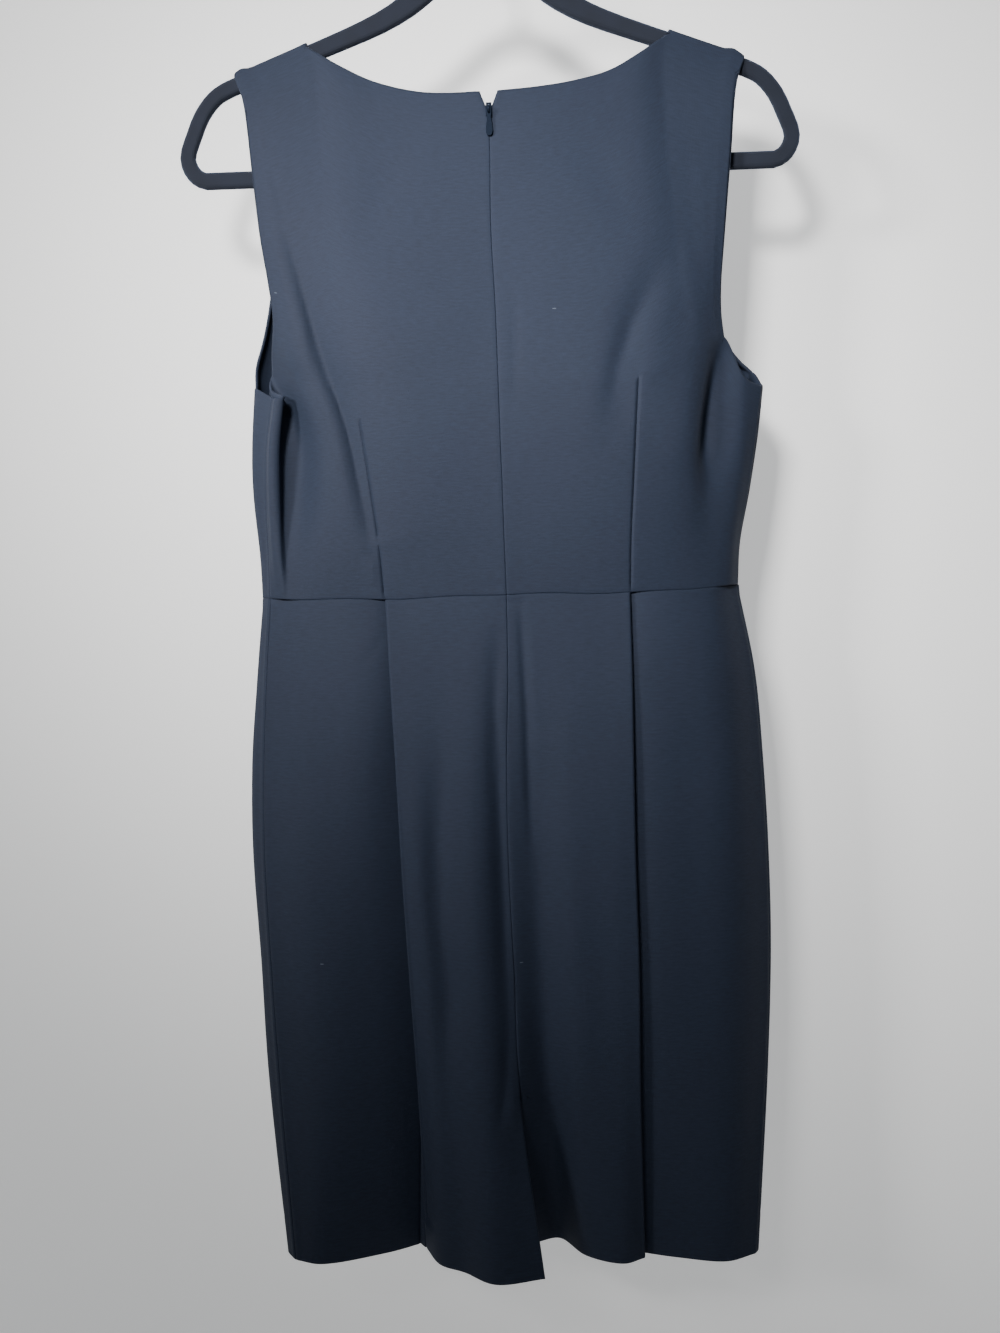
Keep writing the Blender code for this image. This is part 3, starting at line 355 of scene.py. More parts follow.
def pointAlong(points, level):      # down a guide line, counted in its own points
    k = min(int(level), len(points) - 2)
    start, end = points[k], points[k + 1]
    slopeOut = (end - points[k - 1]) / 2 if k > 0 else end - start
    slopeIn = (points[k + 2] - start) / 2 if k + 2 < len(points) else end - start
    return curvePoint(start, end, slopeOut, slopeIn, level - k)


def curveThrough(points, cells):    # one row across the guide lines
    gaps = [max((b - a).length, 0.01) ** 0.5 for a, b in zip(points, points[1:])]
    chords = [(b - a) / gap for a, b, gap in zip(points, points[1:], gaps)]
    slopes = [chords[0]]
    for k in range(1, len(chords)):
        total = gaps[k - 1] + gaps[k]
        slopes.append((chords[k - 1] * gaps[k] + chords[k] * gaps[k - 1]) / total)
    slopes.append(chords[-1])
    row = []
    for k, count in enumerate(cells):
        for step in range(count):
            row.append(curvePoint(points[k], points[k + 1], slopes[k] * gaps[k],
                               slopes[k + 1] * gaps[k], step / count))
    row.append(points[-1].copy())
    return row


def evenly(points, shares):         # places at shares of a curve's length, measured in short steps
    fine = curveThrough(points, [16] * (len(points) - 1))
    lengths = [0.0]
    for a, b in zip(fine, fine[1:]):
        lengths.append(lengths[-1] + (b - a).length)
    found, k = [], 0
    for share in shares:
        target = share * lengths[-1]
        while k < len(fine) - 2 and lengths[k + 1] < target:
            k += 1
        found.append(fine[k].lerp(fine[k + 1], (target - lengths[k]) / (lengths[k + 1] - lengths[k])))
    return found


def refine(values, times):          # more steps between each two values
    finer = []
    for a, b in zip(values, values[1:]):
        finer += [mix(a, b, step / times) for step in range(times)]
    return finer + [values[-1]]


bodiceLevels = refine([step / 2 for step in range(9)], cloth["fineness"] + 1)
upperFine = refine(upperShares, cloth["fineness"])[1:]


def waistHeight(x):
    seam = waistSeam
    sides = seam["sideRise"] * abs(x / seam["sideX"]) ** 6
    slow = seam["slowWave"] * math.sin(x / seam["slowLength"] + seam["slowStart"])
    return seam["height"] + sides + slow - seam["quickWave"] * math.cos(x / seam["quickLength"])


def seamStart(seam, ahead, behind):
    run = (ahead - behind).normalized()
    first = cloth["seamGap"] / 2
    return [seam + run * first, seam + run * (first + cloth["seamMargin"])]


def panelRow(guide, across, level, beyond):
    points = [guide(name, level) for name, count in across]
    start, end = [], []
    if beyond[0]:
        start = seamStart(points[0], points[1], guide(beyond[0], level))
        points[0] = start[1]
    if beyond[1]:
        end = seamStart(points[-1], points[-2], guide(beyond[1], level))
        points[-1] = end[1]
    cells = [count * cloth["fineness"] for name, count in across[:-1]]
    return start[:1] + curveThrough(points, cells) + end[:1]


def bodiceGuide(name, level):
    return pointAlong(vectors(bodiceLines[name]), level)


def skirtGuide(name, level):
    return pointAlong([Vector((x, y, z)) for (x, y), z in zip(skirtLines[name], skirtLevels)], level)


def toWaist(row, side):             # a panel's edge row brought to the waist seam
    for point in row:
        point.z = waistHeight(point.x) + side * cloth["seamGap"] / 2


def patchRows(bottom, top, left, right, shares):        # a patch between four edges
    rows, last = [], len(bottom) - 1
    for i, share in enumerate(shares):
        rise = 1 - (1 - share) ** upperBend
        row = []
        for j in range(last + 1):
            u = j / last
            edges = bottom[j].lerp(top[j], rise) + left[i].lerp(right[i], u)
            corners = bottom[0].lerp(bottom[last], u).lerp(top[0].lerp(top[last], u), rise)
            row.append(edges - corners)
        rows.append(row)
    return rows


def ridgeHeight(x):                 # middle of the cloth over the hanger's arm
    arm = shoulder["armTop"] - shoulder["armFall"] * (abs(x) - shoulder["armStart"])
    ends = sum(height * bell(abs(x) - place, width) for height, place, width in shoulder["bumps"])
    return arm + shoulder["clearance"] + cloth["wall"] / 2 + ends


def shoulderColumns(hand, side):
    points = []
    for share in refine(shoulder["shares"], cloth["fineness"]):
        x = mix(shoulder["end"][hand], shoulder["neck"][hand], share)
        points.append(Vector((x, side * shoulderRadius, ridgeHeight(x) - shoulderRadius)))
    return points


def ridgeRows(columns, side):
    rows = []
    for angle in shoulder["ridgeAngles"]:
        out = shoulderRadius * math.sin(math.radians(angle))
        up = shoulderRadius * math.cos(math.radians(angle))
        rows.append([Vector((p.x, side * out, p.z + up)) for p in columns])
    return rows


def notchHalf(z):
    n = zipNotch
    if z >= n["midZ"]:
        return mix(n["midHalf"], n["topHalf"], min(1, (z - n["midZ"]) / (n["neckZ"] - n["midZ"])))
    if z >= n["endZ"]:
        return mix(cloth["seamGap"] / 2, n["midHalf"], (z - n["endZ"]) / (n["midZ"] - n["endZ"]))
    return cloth["seamGap"] / 2


def bodiceBack(side):
    hand = "left" if side < 0 else "right"
    tail = hand.capitalize()
    across = bodiceBackAcross[hand]
    foot = [name for name, count in across].index(armholeFoot[hand])
    lipColumns = 1 + sum(count for name, count in across[:foot]) * cloth["fineness"]
    rows = []
    for level in bodiceLevels:
        row = panelRow(bodiceGuide, across, level, ("side" + tail, None))
        row[-1].x += side * cloth["seamGap"] / 2
        rows.append(row)
    toWaist(rows[0], 1)
    bottom = rows[-1][lipColumns:]
    columns = shoulderColumns(hand, -1)
    centre = []
    for share in upperFine:
        point = pointAlong(vectors(upperCentreBack), share * (len(upperCentreBack) - 1))
        point.x += side * notchHalf(point.z)
        centre.append(point)
    neck = [columns[-1]] + vectors(necklines["back" + tail])
    neck[-1] = centre[-1]
    count = len(bottom) - len(columns)
    neckPoints = evenly(neck, [k / count for k in range(count + 1)])
    armhole = evenly(vectors(armholeLines["back" + tail]) + [columns[0]], upperFine)
    upper = patchRows(bottom, columns + neckPoints[1:], armhole, centre, upperFine)
    empty = [None] * lipColumns
    rows += [empty + row for row in upper]
    rows += [empty + row + [None] * count for row in ridgeRows(columns, -1)]
    foldIn(rows, "bodiceBack", 1)
    return rows if side < 0 else [row[::-1] for row in rows]    # both run from the left


def bodiceFront():
    rows = []
    for level in bodiceLevels:
        rows.append(panelRow(bodiceGuide, bodiceFrontAcross, level, ("lipRight", "lipLeft")))
    toWaist(rows[0], 1)
    before = [None] * (bodiceFrontAcross[0][1] * cloth["fineness"] + 1)
    after = [None] * (bodiceFrontAcross[-2][1] * cloth["fineness"] + 1)
    bottom = rows[-1][len(before):-len(after)]
    right = shoulderColumns("right", 1)
    left = shoulderColumns("left", 1)[::-1]
    count = len(bottom) - len(right) - len(left) + 1
    neck = evenly([right[-1]] + vectors(necklines["front"]) + [left[0]],
                  [k / count for k in range(count + 1)])
    sides = [evenly(vectors(armholeLines[name]) + [end], upperFine)
             for name, end in (("frontRight", right[0]), ("frontLeft", left[-1]))]
    upper = patchRows(bottom, right + neck[1:-1] + left, sides[0], sides[1], upperFine)
    rows += [before + row + after for row in upper]
    for rightRow, leftRow in zip(ridgeRows(right, 1), ridgeRows(left, 1)):
        rows.append(before + rightRow + [None] * (count - 1) + leftRow + after)
    foldIn(rows, "bodiceFront", -1)
    return rows


def pressedFold(before, tip, after):        # the cloth's middle round a pleat's edge
    outwards = (tip - before).normalized() + (tip - after).normalized()
    outwards.z = 0
    outwards.normalize()
    sideways = Vector((-outwards.y, outwards.x, 0))
    if sideways.dot(before - after) < 0:
        sideways = -sideways
    radius = cloth["pleatRadius"]
    middle = tip - outwards * radius
    turns = [math.radians(angle) for angle in (90, 60, 30, 0, -30, -60, -90)]
    return [middle + (outwards * math.cos(a) + sideways * math.sin(a)) * radius for a in turns]


def skirtCells(part):
    return [count * cloth["fineness"] for count in skirtBackCells[part]]


def skirtHalf(side, level):
    tail = "Left" if side < 0 else "Right"
    seam, middle, way, tuck, edge, roll = [
        skirtGuide(name + tail, level)
        for name in ("seam", "sideBack", "pleatWay", "tuck", "pleat", "roll")]
    start = seamStart(seam, middle, skirtGuide("side" + tail, level))
    inner = pressedFold(mix(way, tuck, tuckLead), tuck, edge)
    outer = pressedFold(tuck, edge, roll)
    row = start[:1] + curveThrough([start[1], middle, way, inner[0]], skirtCells("side"))
    row += inner[1:-1] + curveThrough([inner[-1], outer[0]], skirtCells("tuck")) + outer[1:-1]
    inside = ("dipLeft", "ridgeLeft", "flap") if side < 0 else ("riseRight", "valleyRight", "under")
    centre = [outer[-1], roll] + [skirtGuide(name, level) for name in inside]
    return row + curveThrough(centre, skirtCells("centre"))


def underlapPoints(level, joint):
    spread = min(1.0, (level - ventLevel) / underlap["spread"])
    reach = mix(underlap["width"] * underlap["topShare"], underlap["width"], spread)
    count = underlap["cells"] * cloth["fineness"]
    points = []
    for k in range(count):
        share = 1 - k / count
        bow = underlap["bow"] * math.sin(math.pi * share)
        fall = underlap["topFall"] * share * (1 - spread)
        points.append(Vector((joint.x - reach * share, joint.y + bow, joint.z - fall)))
    return points


def skirtBack(side):
    fine = cloth["fineness"]
    noUnderlap = [None] * (underlap["cells"] * fine)
    rows = []
    for level in refine(skirtRows, 2 * fine):
        row = skirtHalf(side, level)
        if level == 0:
            toWaist(row, -1)
        row[-1].x += side * cloth["seamGap"] / 2
        if side > 0:
            row.reverse()
            row = (underlapPoints(level, row[0]) if level >= ventLevel else noUnderlap) + row
        rows.append(row)
    rows.reverse()
    foldIn(rows, "skirtBack", 1, leaveFolds=True)
    return rows


def skirtFront():
    rows = []
    for level in refine(skirtRows, 2 * cloth["fineness"]):
        row = panelRow(skirtGuide, skirtFrontAcross, level, ("sideBackRight", "sideBackLeft"))
        if level == 0:
            toWaist(row, -1)
        rows.append(row)
    rows.reverse()
    foldIn(rows, "skirtFront", -1)
    return rows


def creaseDepth(point, path, halfWidth, deepest, lean, sharp=0.0):
    # depth at a point of one crease, softened to nothing at the ends of its path
    shape = creaseShape
    reach = shape["reach"] * halfWidth
    if not min(p[1] for p in path) - reach < point.z < max(p[1] for p in path) + reach:
        return 0.0
    place = Vector((point.x, point.z))
    ends = vectors(path)
    lengths = [(b - a).length for a, b in zip(ends, ends[1:])]
    nearest, side, share, passed = math.inf, 0.0, 0.0, 0.0
    for a, b, length in zip(ends, ends[1:], lengths):
        t = min(max((place - a).dot(b - a) / length ** 2, 0.0), 1.0)
        distance = (place - a.lerp(b, t)).length
        if distance < nearest:
            nearest, share = distance, (passed + t * length) / sum(lengths)
            side = (b - a).cross(place - a)
        passed += length
    width = halfWidth * (1 - shape["leaning"] * lean * (1 if side > 0 else -1))
    drift = noise.noise(Vector((point.z / shape["wanderLength"], halfWidth, shape["seed"])))
    wander = shape["wander"] * halfWidth * drift
    share = min(max(share, shape["endShare"]), 1 - shape["endShare"])
    fade = math.sin(math.pi * share) ** shape["endFade"]
    distance = abs(nearest + wander * (1 - sharp))
    return deepest * fade * mix(bell(distance, width), math.exp(-distance / width), sharp)


def isInsidePleat(point):
    return point.y > pleatInside["y"] and pleatInside["left"] < point.x < pleatInside["right"]


def foldIn(rows, name, inwards, leaveFolds=False):      # listed creases and slow unevenness
    long, short = cloth["waveLengths"]
    for row in rows:
        for point in row:
            if point is None or (leaveFolds and isInsidePleat(point)):
                continue
            depth = sum(creaseDepth(point, *crease) for crease in creases[name])
            slow = noise.noise(point / long) + 0.5 * noise.noise(point / short)
            point.y += inwards * (depth + cloth["unevenness"] * slow)


def neighbour(rows, i, j, point):
    if 0 <= i < len(rows) and 0 <= j < len(rows[i]) and rows[i][j] is not None:
        return rows[i][j]
    return point


def gridNormals(rows):
    normals = []
    for i, row in enumerate(rows):
        line = []
        for j, point in enumerate(row):
            if point is None:
                line.append(None)
                continue
            across = neighbour(rows, i, j + 1, point) - neighbour(rows, i, j - 1, point)
            up = neighbour(rows, i + 1, j, point) - neighbour(rows, i - 1, j, point)
            line.append(across.cross(up).normalized())
        normals.append(line)
    return normals


def edgeKind(point, i, j, rows, isSkirt, isBack, normal):
    # how a panel's edge ends here: sewn, turned back, or cut where the layers of a pleat lie close
    limits = edgePlaces
    last = len(rows) - 1
    betweenPleats = limits["pleatsLeft"] < point.x < limits["pleatsRight"]
    if isBack and isSkirt and i in (0, last) and betweenPleats and normal.y > limits["inward"]:
        return "cut"
    if i == 0:
        return "turned" if isSkirt else "sewn"
    if i == last:
        return "sewn" if isSkirt else "cut"
    if isBack and abs(point.x) < limits["centre"]:
        if zipTapes["endZ"] < point.z < zipNotch["endZ"]:
            return "zipped"
        return "sewn" if skirtLevels[ventLevel] + 0.1 < point.z < zipTapes["endZ"] else "turned"
    return "sewn" if j in (0, len(rows[0]) - 1) else "turned"


def turnEdges(sheet, clothMap, normalOf, kindOf):
    # each edge of the sheet rolled inwards, into the seam or back behind itself
    half = cloth["wall"] / 2
    turnSteps = cloth["turnSteps"]
    rims = [edge for edge in sheet.edges if len(edge.link_faces) == 1]
    beside = {}
    for edge in rims:
        for vert in edge.verts:
            beside.setdefault(vert, []).append(edge.other_vert(vert))
    chains, hinges, corners = {}, {}, {}
    for vert, others in beside.items():
        kind, normal = kindOf[vert], normalOf[vert]
        middles = [face.calc_center_median() for face in vert.link_faces]
        outwards = (others[-1].co - others[0].co).cross(normal).normalized()
        if outwards.dot(vert.co - sum(middles, Vector()) / len(middles)) < 0:
            outwards = -outwards
        if kind == "cut":
            chains[vert] = [vert] * (turnSteps + 2)
            continue
        isFree = kind == "turned"
        setBack = half if isFree else half - cloth["seamPress"]
        radius = cloth["foldRadius"] if isFree else cloth["seamRadius"]
        hinge = vert.co / mm - outwards * (setBack + radius)
        chain = [vert]
        for step in range(1, turnSteps + 1):
            turn = math.radians((180 if isFree else 90) * step / turnSteps)
            out, back = radius * math.sin(turn), radius * (1 - math.cos(turn))
            chain.append(sheet.verts.new((hinge + outwards * out - normal * back) * mm))
        if isFree:
            end = chain[-1].co / mm - outwards * cloth["turning"]
        else:
            depth = cloth["zipAllowance"] if kind == "zipped" else cloth["seamAllowance"]
            end = chain[-1].co / mm - normal * depth
        chain.append(sheet.verts.new(end * mm))
        chains[vert] = chain
        hinges[vert] = hinge
    for vert, others in beside.items():         # a corner goes in with the edge that ends there
        turned = [other for other in others if other in hinges]
        if kindOf[vert] == "cut" and turned:
            corners[vert] = hinges[turned[0]] * mm - turned[0].co
    for vert, shift in corners.items():
        vert.co += shift
    for vert, hinge in hinges.items():
        vert.co = hinge * mm
    for edge in rims:
        face = edge.link_faces[0]
        loop = next(loop for loop in face.loops if loop.edge == edge)
        start, end = loop.vert, loop.link_loop_next.vert
        uvs = {start: loop[clothMap].uv.copy(), end: loop.link_loop_next[clothMap].uv.copy()}
        inside = sum((corner[clothMap].uv for corner in face.loops), Vector((0, 0))) / len(face.loops)
        run = ((uvs[start] + uvs[end]) / 2 - inside).normalized() * cloth["turnedMap"]
        for k in range(turnSteps + 1):
            verts, places = [], []
            for owner, n in ((end, k), (start, k), (start, k + 1), (end, k + 1)):
                vert = chains[owner][n]
                if vert not in verts:
                    verts.append(vert)
                    places.append(uvs[owner] + run * n)
            if len(verts) < 3:
                continue
            turned = sheet.faces.new(verts)
            turned.smooth = True
            for corner, place in zip(turned.loops, places):
                corner[clothMap].uv = place


def sinkDart(sheet, line, dart):
    # a dart's sewn line: the grid is split on both sides of it and the line itself drawn in
    size = dartLine
    line = [vert for vert in line if vert.is_valid and vert.co.z < dart["end"] * mm]
    places = [vert.co.copy() for vert in line]
    edges = [edge for edge in sheet.edges if edge.verts[0] in line and edge.verts[1] in line]
    bmesh.ops.bevel(sheet, geom=edges, offset=size["width"] * mm, offset_type="OFFSET", segments=2,
                    profile=0.5, affect="EDGES")
    for vert in sheet.verts:
        place = min(places, key=lambda place: abs(place.z - vert.co.z))
        beside = abs(vert.co.x - place.x) < size["near"] * mm
        if beside and (vert.co - place).length < size["rowReach"] * mm:
            fade = smooth((dart["end"] * mm - vert.co.z) / (size["fade"] * mm))
            vert.co.y += dart["sink"] * mm * fade


def meanStep(pairs):
    steps = [(a - b).length for a, b in pairs if a is not None and b is not None]
    return sum(steps) / len(steps) if steps else 1.0


def addSheet(sheet, name, material, wall):
    # the sheet as an object with one material, given its wall on both sides of its middle
    mesh = bpy.data.meshes.new(name)
    sheet.to_mesh(mesh)
    sheet.free()
    item = bpy.data.objects.new(name, mesh)
    bpy.context.scene.collection.objects.link(item)
    mesh.materials.append(material)
    solid = item.modifiers.new("wall", "SOLIDIFY")
    solid.thickness = wall * mm
    solid.offset = 0.0
    return item


def pressSeams(rows, normals, isSkirt, isBack):
    # ripples beside the waist seam and the zip, and the line of the blind hem
    waist = rows[-1] if isSkirt else rows[0]
    reach = cloth["puckerReach"]
    pressed = []
    for i, row in enumerate(rows):
        line = []
        for j, point in enumerate(row):
            if point is None:
                line.append(None)
                continue
            push = 0.0
            if waist[j] is not None:
                ripple = cloth["pucker"] * noise.noise(point / cloth["waistRipple"])
                push -= ripple * bell((point - waist[j]).length, reach)
            if isBack:
                ripple = cloth["pucker"] * noise.noise(point / cloth["zipRipple"])
                push -= ripple * bell(point.x - cloth["zipX"], reach)
            if isSkirt and rows[0][j] is not None and i < len(rows) // 3:
                above = (point - rows[0][j]).length
                push -= cloth["hemSink"] * bell(above - cloth["hemDepth"], cloth["hemLine"])
            line.append(point + normals[i][j] * push)
        pressed.append(line)
    return pressed


def clothPanel(name, material, rows, isSkirt, isBack, hand):
    # the panel's grid of rows as a sheet that is mapped flat, with its edges turned and its dart sewn
    normals = gridNormals(rows)
    sheet = bmesh.new()
    clothMap = sheet.loops.layers.uv.new("clothMap")
    grid = [[None if point is None else sheet.verts.new(point * mm) for point in row]
            for row in pressSeams(rows, normals, isSkirt, isBack)]
    widths, heights = [0.0], [0.0]
    for j in range(1, len(rows[0])):
        widths.append(widths[-1] + meanStep((row[j], row[j - 1]) for row in rows))
    for low, high in zip(rows, rows[1:]):
        heights.append(heights[-1] + meanStep(zip(high, low)))
    for i in range(len(rows) - 1):
        for j in range(len(rows[0]) - 1):
            corners = ((i, j), (i, j + 1), (i + 1, j + 1), (i + 1, j))
            if all(grid[a][b] for a, b in corners):
                face = sheet.faces.new([grid[a][b] for a, b in corners])
                face.smooth = True
                for loop, (a, b) in zip(face.loops, corners):
                    loop[clothMap].uv = (widths[b] * mm, heights[a] * mm)
    area = sum(face.calc_area() for face in sheet.faces)
    normalOf, kindOf = {}, {}
    for i, row in enumerate(grid):
        for j, vert in enumerate(row):
            if vert is not None:
                normalOf[vert] = normals[i][j]
                kindOf[vert] = edgeKind(rows[i][j], i, j, rows, isSkirt, isBack, normals[i][j])
    turnEdges(sheet, clothMap, normalOf, kindOf)
    if hand:
        fromCentre = dartLine["cells"] * cloth["fineness"]
        column = fromCentre if hand == "right" else -1 - fromCentre
        sinkDart(sheet, [row[column] for row in grid if row[column]], darts[hand])
    return addSheet(sheet, name, material, cloth["wall"]), area


print("shader groups")


def newGroup(name, inputs, outputs):
    group = bpy.data.node_groups.new(name, "ShaderNodeTree")
    for socketName, kind, value in inputs:
        socket = group.interface.new_socket(socketName, in_out="INPUT", socket_type=kind)
        socket.default_value = value
    for socketName, kind in outputs:
        group.interface.new_socket(socketName, in_out="OUTPUT", socket_type=kind)
    start = group.nodes.new("NodeGroupInput")
    end = group.nodes.new("NodeGroupOutput")
    start.location, end.location = (-900, 0), (700, 0)
    return group, start, end


def addNode(tree, kind, place, **settings):
    node = tree.nodes.new(kind)
    node.location = place
    for key, value in settings.items():
        setattr(node, key, value)
    return node


def mathNode(tree, operation, values, place=(0, 0)):
    node = addNode(tree, "ShaderNodeMath", place, operation=operation)
    for socket, value in zip(node.inputs, values):
        if isinstance(value, (int, float)):
            socket.default_value = value
        else:
            tree.links.new(value, socket)
    return node.outputs[0]


def noiseNode(tree, source, scale, detail, place):
    node = addNode(tree, "ShaderNodeTexNoise", place)
    node.inputs["Scale"].default_value = scale
    node.inputs["Detail"].default_value = detail
    tree.links.new(source, node.inputs["Vector"])
    return node


def shadedColour(tree, colour, shade, place):       # a plain colour times a shade that changes
    node = addNode(tree, "ShaderNodeMix", place, data_type="RGBA", blend_type="MULTIPLY")
    node.inputs["Factor"].default_value = 1.0
    node.inputs[6].default_value = (*colour, 1)
    tree.links.new(shade, node.inputs[7])
    return node.outputs[2]


def addBump(tree, shader, height, strength, distance, place):
    bump = addNode(tree, "ShaderNodeBump", place)
    bump.inputs["Strength"].default_value = strength
    bump.inputs["Distance"].default_value = distance
    tree.links.new(height, bump.inputs["Height"])
    tree.links.new(bump.outputs["Normal"], shader.inputs["Normal"])


def knitGroup():
    # fine courses and wales of a double knit, its heathered shade and a little lint
    yarn = {"wales": 1300.0, "coursesPerWale": 0.8, "fuzz": 1500.0, "heather": 700.0, "stretch": 0.22,
            "patches": 14.0, "patchDepth": 0.16, "lintCells": 210.0, "lintSize": 0.085, "lintFrom": 0.93}
    group, start, end = newGroup("doubleKnit", [
        ("Place", "NodeSocketVector", (0, 0, 0)),
        ("Wales", "NodeSocketFloat", yarn["wales"]),
        ("Heather", "NodeSocketFloat", 0.35),
        ("Lint", "NodeSocketFloat", 0.5)],
        [("Height", "NodeSocketFloat"), ("Shade", "NodeSocketFloat"), ("Lint", "NodeSocketFloat")])
    links = group.links
    place = start.outputs["Place"]
    wales = addNode(group, "ShaderNodeTexWave", (-600, 200), wave_type="BANDS", bands_direction="X")
    courses = addNode(group, "ShaderNodeTexWave", (-600, 0), wave_type="BANDS", bands_direction="Y")
    for wave, turn in ((wales, 1.0), (courses, yarn["coursesPerWale"])):
        links.new(place, wave.inputs["Vector"])
        bands = mathNode(group, "MULTIPLY", (start.outputs["Wales"], 0.31 * turn), (-760, 100))
        links.new(bands, wave.inputs["Scale"])
        wave.inputs["Distortion"].default_value = 1.4
        wave.inputs["Detail"].default_value = 1.0
        wave.inputs["Detail Scale"].default_value = 2.0
    fuzz = noiseNode(group, place, yarn["fuzz"], 3.0, (-600, -200))
    rise = mathNode(group, "ADD", (wales.outputs["Fac"], courses.outputs["Fac"]), (-380, 100))
    rise = mathNode(group, "MULTIPLY", (rise, 0.35), (-220, 100))
    rise = mathNode(group, "ADD", (rise, fuzz.outputs["Fac"]), (-60, 100))
    streak = addNode(group, "ShaderNodeMapping", (-760, -420))
    streak.inputs["Scale"].default_value = (yarn["stretch"], 1.0, 1.0)
    links.new(place, streak.inputs["Vector"])
    heather = noiseNode(group, streak.outputs["Vector"], yarn["heather"], 4.0, (-600, -420))
    heather.inputs["Roughness"].default_value = 0.7
    ribbed = mathNode(group, "MULTIPLY", (heather.outputs["Fac"], 1.6), (-380, -260))
    links.new(mathNode(group, "ADD", (rise, ribbed), (100, 100)), end.inputs["Height"])
    even = mathNode(group, "SUBTRACT", (heather.outputs["Fac"], 0.5), (-380, -420))
    even = mathNode(group, "MULTIPLY", (even, start.outputs["Heather"]), (-220, -420))
    slow = noiseNode(group, place, yarn["patches"], 3.0, (-600, -640))
    dark = 1 - yarn["patchDepth"] / 2
    patch = mathNode(group, "MULTIPLY_ADD", (slow.outputs["Fac"], yarn["patchDepth"], dark), (-380, -640))
    links.new(mathNode(group, "ADD", (even, patch), (-60, -420)), end.inputs["Shade"])
    specks = addNode(group, "ShaderNodeTexVoronoi", (-600, -860), feature="F1")
    links.new(streak.outputs["Vector"], specks.inputs["Vector"])
    specks.inputs["Scale"].default_value = yarn["lintCells"]
    close = mathNode(group, "LESS_THAN", (specks.outputs["Distance"], yarn["lintSize"]), (-380, -860))
    rare = mathNode(group, "GREATER_THAN", (specks.outputs["Color"], yarn["lintFrom"]), (-380, -1000))
    found = mathNode(group, "MULTIPLY", (close, rare), (-220, -860))
    found = mathNode(group, "MULTIPLY", (found, start.outputs["Lint"]), (-60, -860))
    links.new(found, end.inputs["Lint"])
    return group


def scratchGroup():
    # a roughness that fine scratches make uneven
    group, start, end = newGroup("fineScratches", [
        ("Place", "NodeSocketVector", (0, 0, 0)),
        ("Roughness", "NodeSocketFloat", 0.3),
        ("Scratch", "NodeSocketFloat", 0.1)],
        [("Roughness", "NodeSocketFloat")])
    marks = noiseNode(group, start.outputs["Place"], 400.0, 5.0, (-600, 0))
    around = mathNode(group, "SUBTRACT", (marks.outputs["Fac"], 0.5), (-380, 0))
    rough = mathNode(group, "MULTIPLY_ADD", (around, start.outputs["Scratch"], start.outputs["Roughness"]))
    group.links.new(rough, end.inputs["Roughness"])
    return group


doubleKnit = knitGroup()
fineScratches = scratchGroup()


def plainMaterial(name, colour, roughness, metallic=0.0):
    material = bpy.data.materials.new(name)
    material.use_nodes = True
    shader = material.node_tree.nodes["Principled BSDF"]
    shader.inputs["Base Color"].default_value = (*colour, 1)
    shader.inputs["Roughness"].default_value = roughness
    shader.inputs["Metallic"].default_value = metallic
    material.diffuse_color = (*colour, 1)
    return material, shader


def addSheen(shader, weight, roughness, tint):
    shader.inputs["Sheen Weight"].default_value = weight
    shader.inputs["Sheen Roughness"].default_value = roughness
    shader.inputs["Sheen Tint"].default_value = (*tint, 1)


def knitMaterial():
    look = {"colour": (0.0122, 0.0195, 0.038), "lintColour": (0.16, 0.19, 0.24), "roughness": 0.78,
            "gloss": 0.33, "glossTint": (1.0, 0.96, 1.0), "sheen": 0.05, "sheenRoughness": 0.35,
            "sheenTint": (0.55, 0.66, 0.9), "bump": 0.35, "bumpDistance": 0.0002, "heather": 0.9}
    material, shader = plainMaterial("navyDoubleKnit", look["colour"], look["roughness"])
    tree = material.node_tree
    place = addNode(tree, "ShaderNodeUVMap", (-1200, 0), uv_map="clothMap")
    knit = addNode(tree, "ShaderNodeGroup", (-900, 0), node_tree=doubleKnit)
    tree.links.new(place.outputs["UV"], knit.inputs["Place"])
    knit.inputs["Heather"].default_value = look["heather"]
    colour = shadedColour(tree, look["colour"], knit.outputs["Shade"], (-560, 200))
    lint = addNode(tree, "ShaderNodeMix", (-360, 200), data_type="RGBA")
    tree.links.new(knit.outputs["Lint"], lint.inputs["Factor"])
    tree.links.new(colour, lint.inputs[6])
    lint.inputs[7].default_value = (*look["lintColour"], 1)
    tree.links.new(lint.outputs[2], shader.inputs["Base Color"])
    addBump(tree, shader, knit.outputs["Height"], look["bump"], look["bumpDistance"], (-360, -200))
    addSheen(shader, look["sheen"], look["sheenRoughness"], look["sheenTint"])
    shader.inputs["Specular IOR Level"].default_value = look["gloss"]
    shader.inputs["Specular Tint"].default_value = (*look["glossTint"], 1)
    return material


print("cloth panels")
knit = knitMaterial()
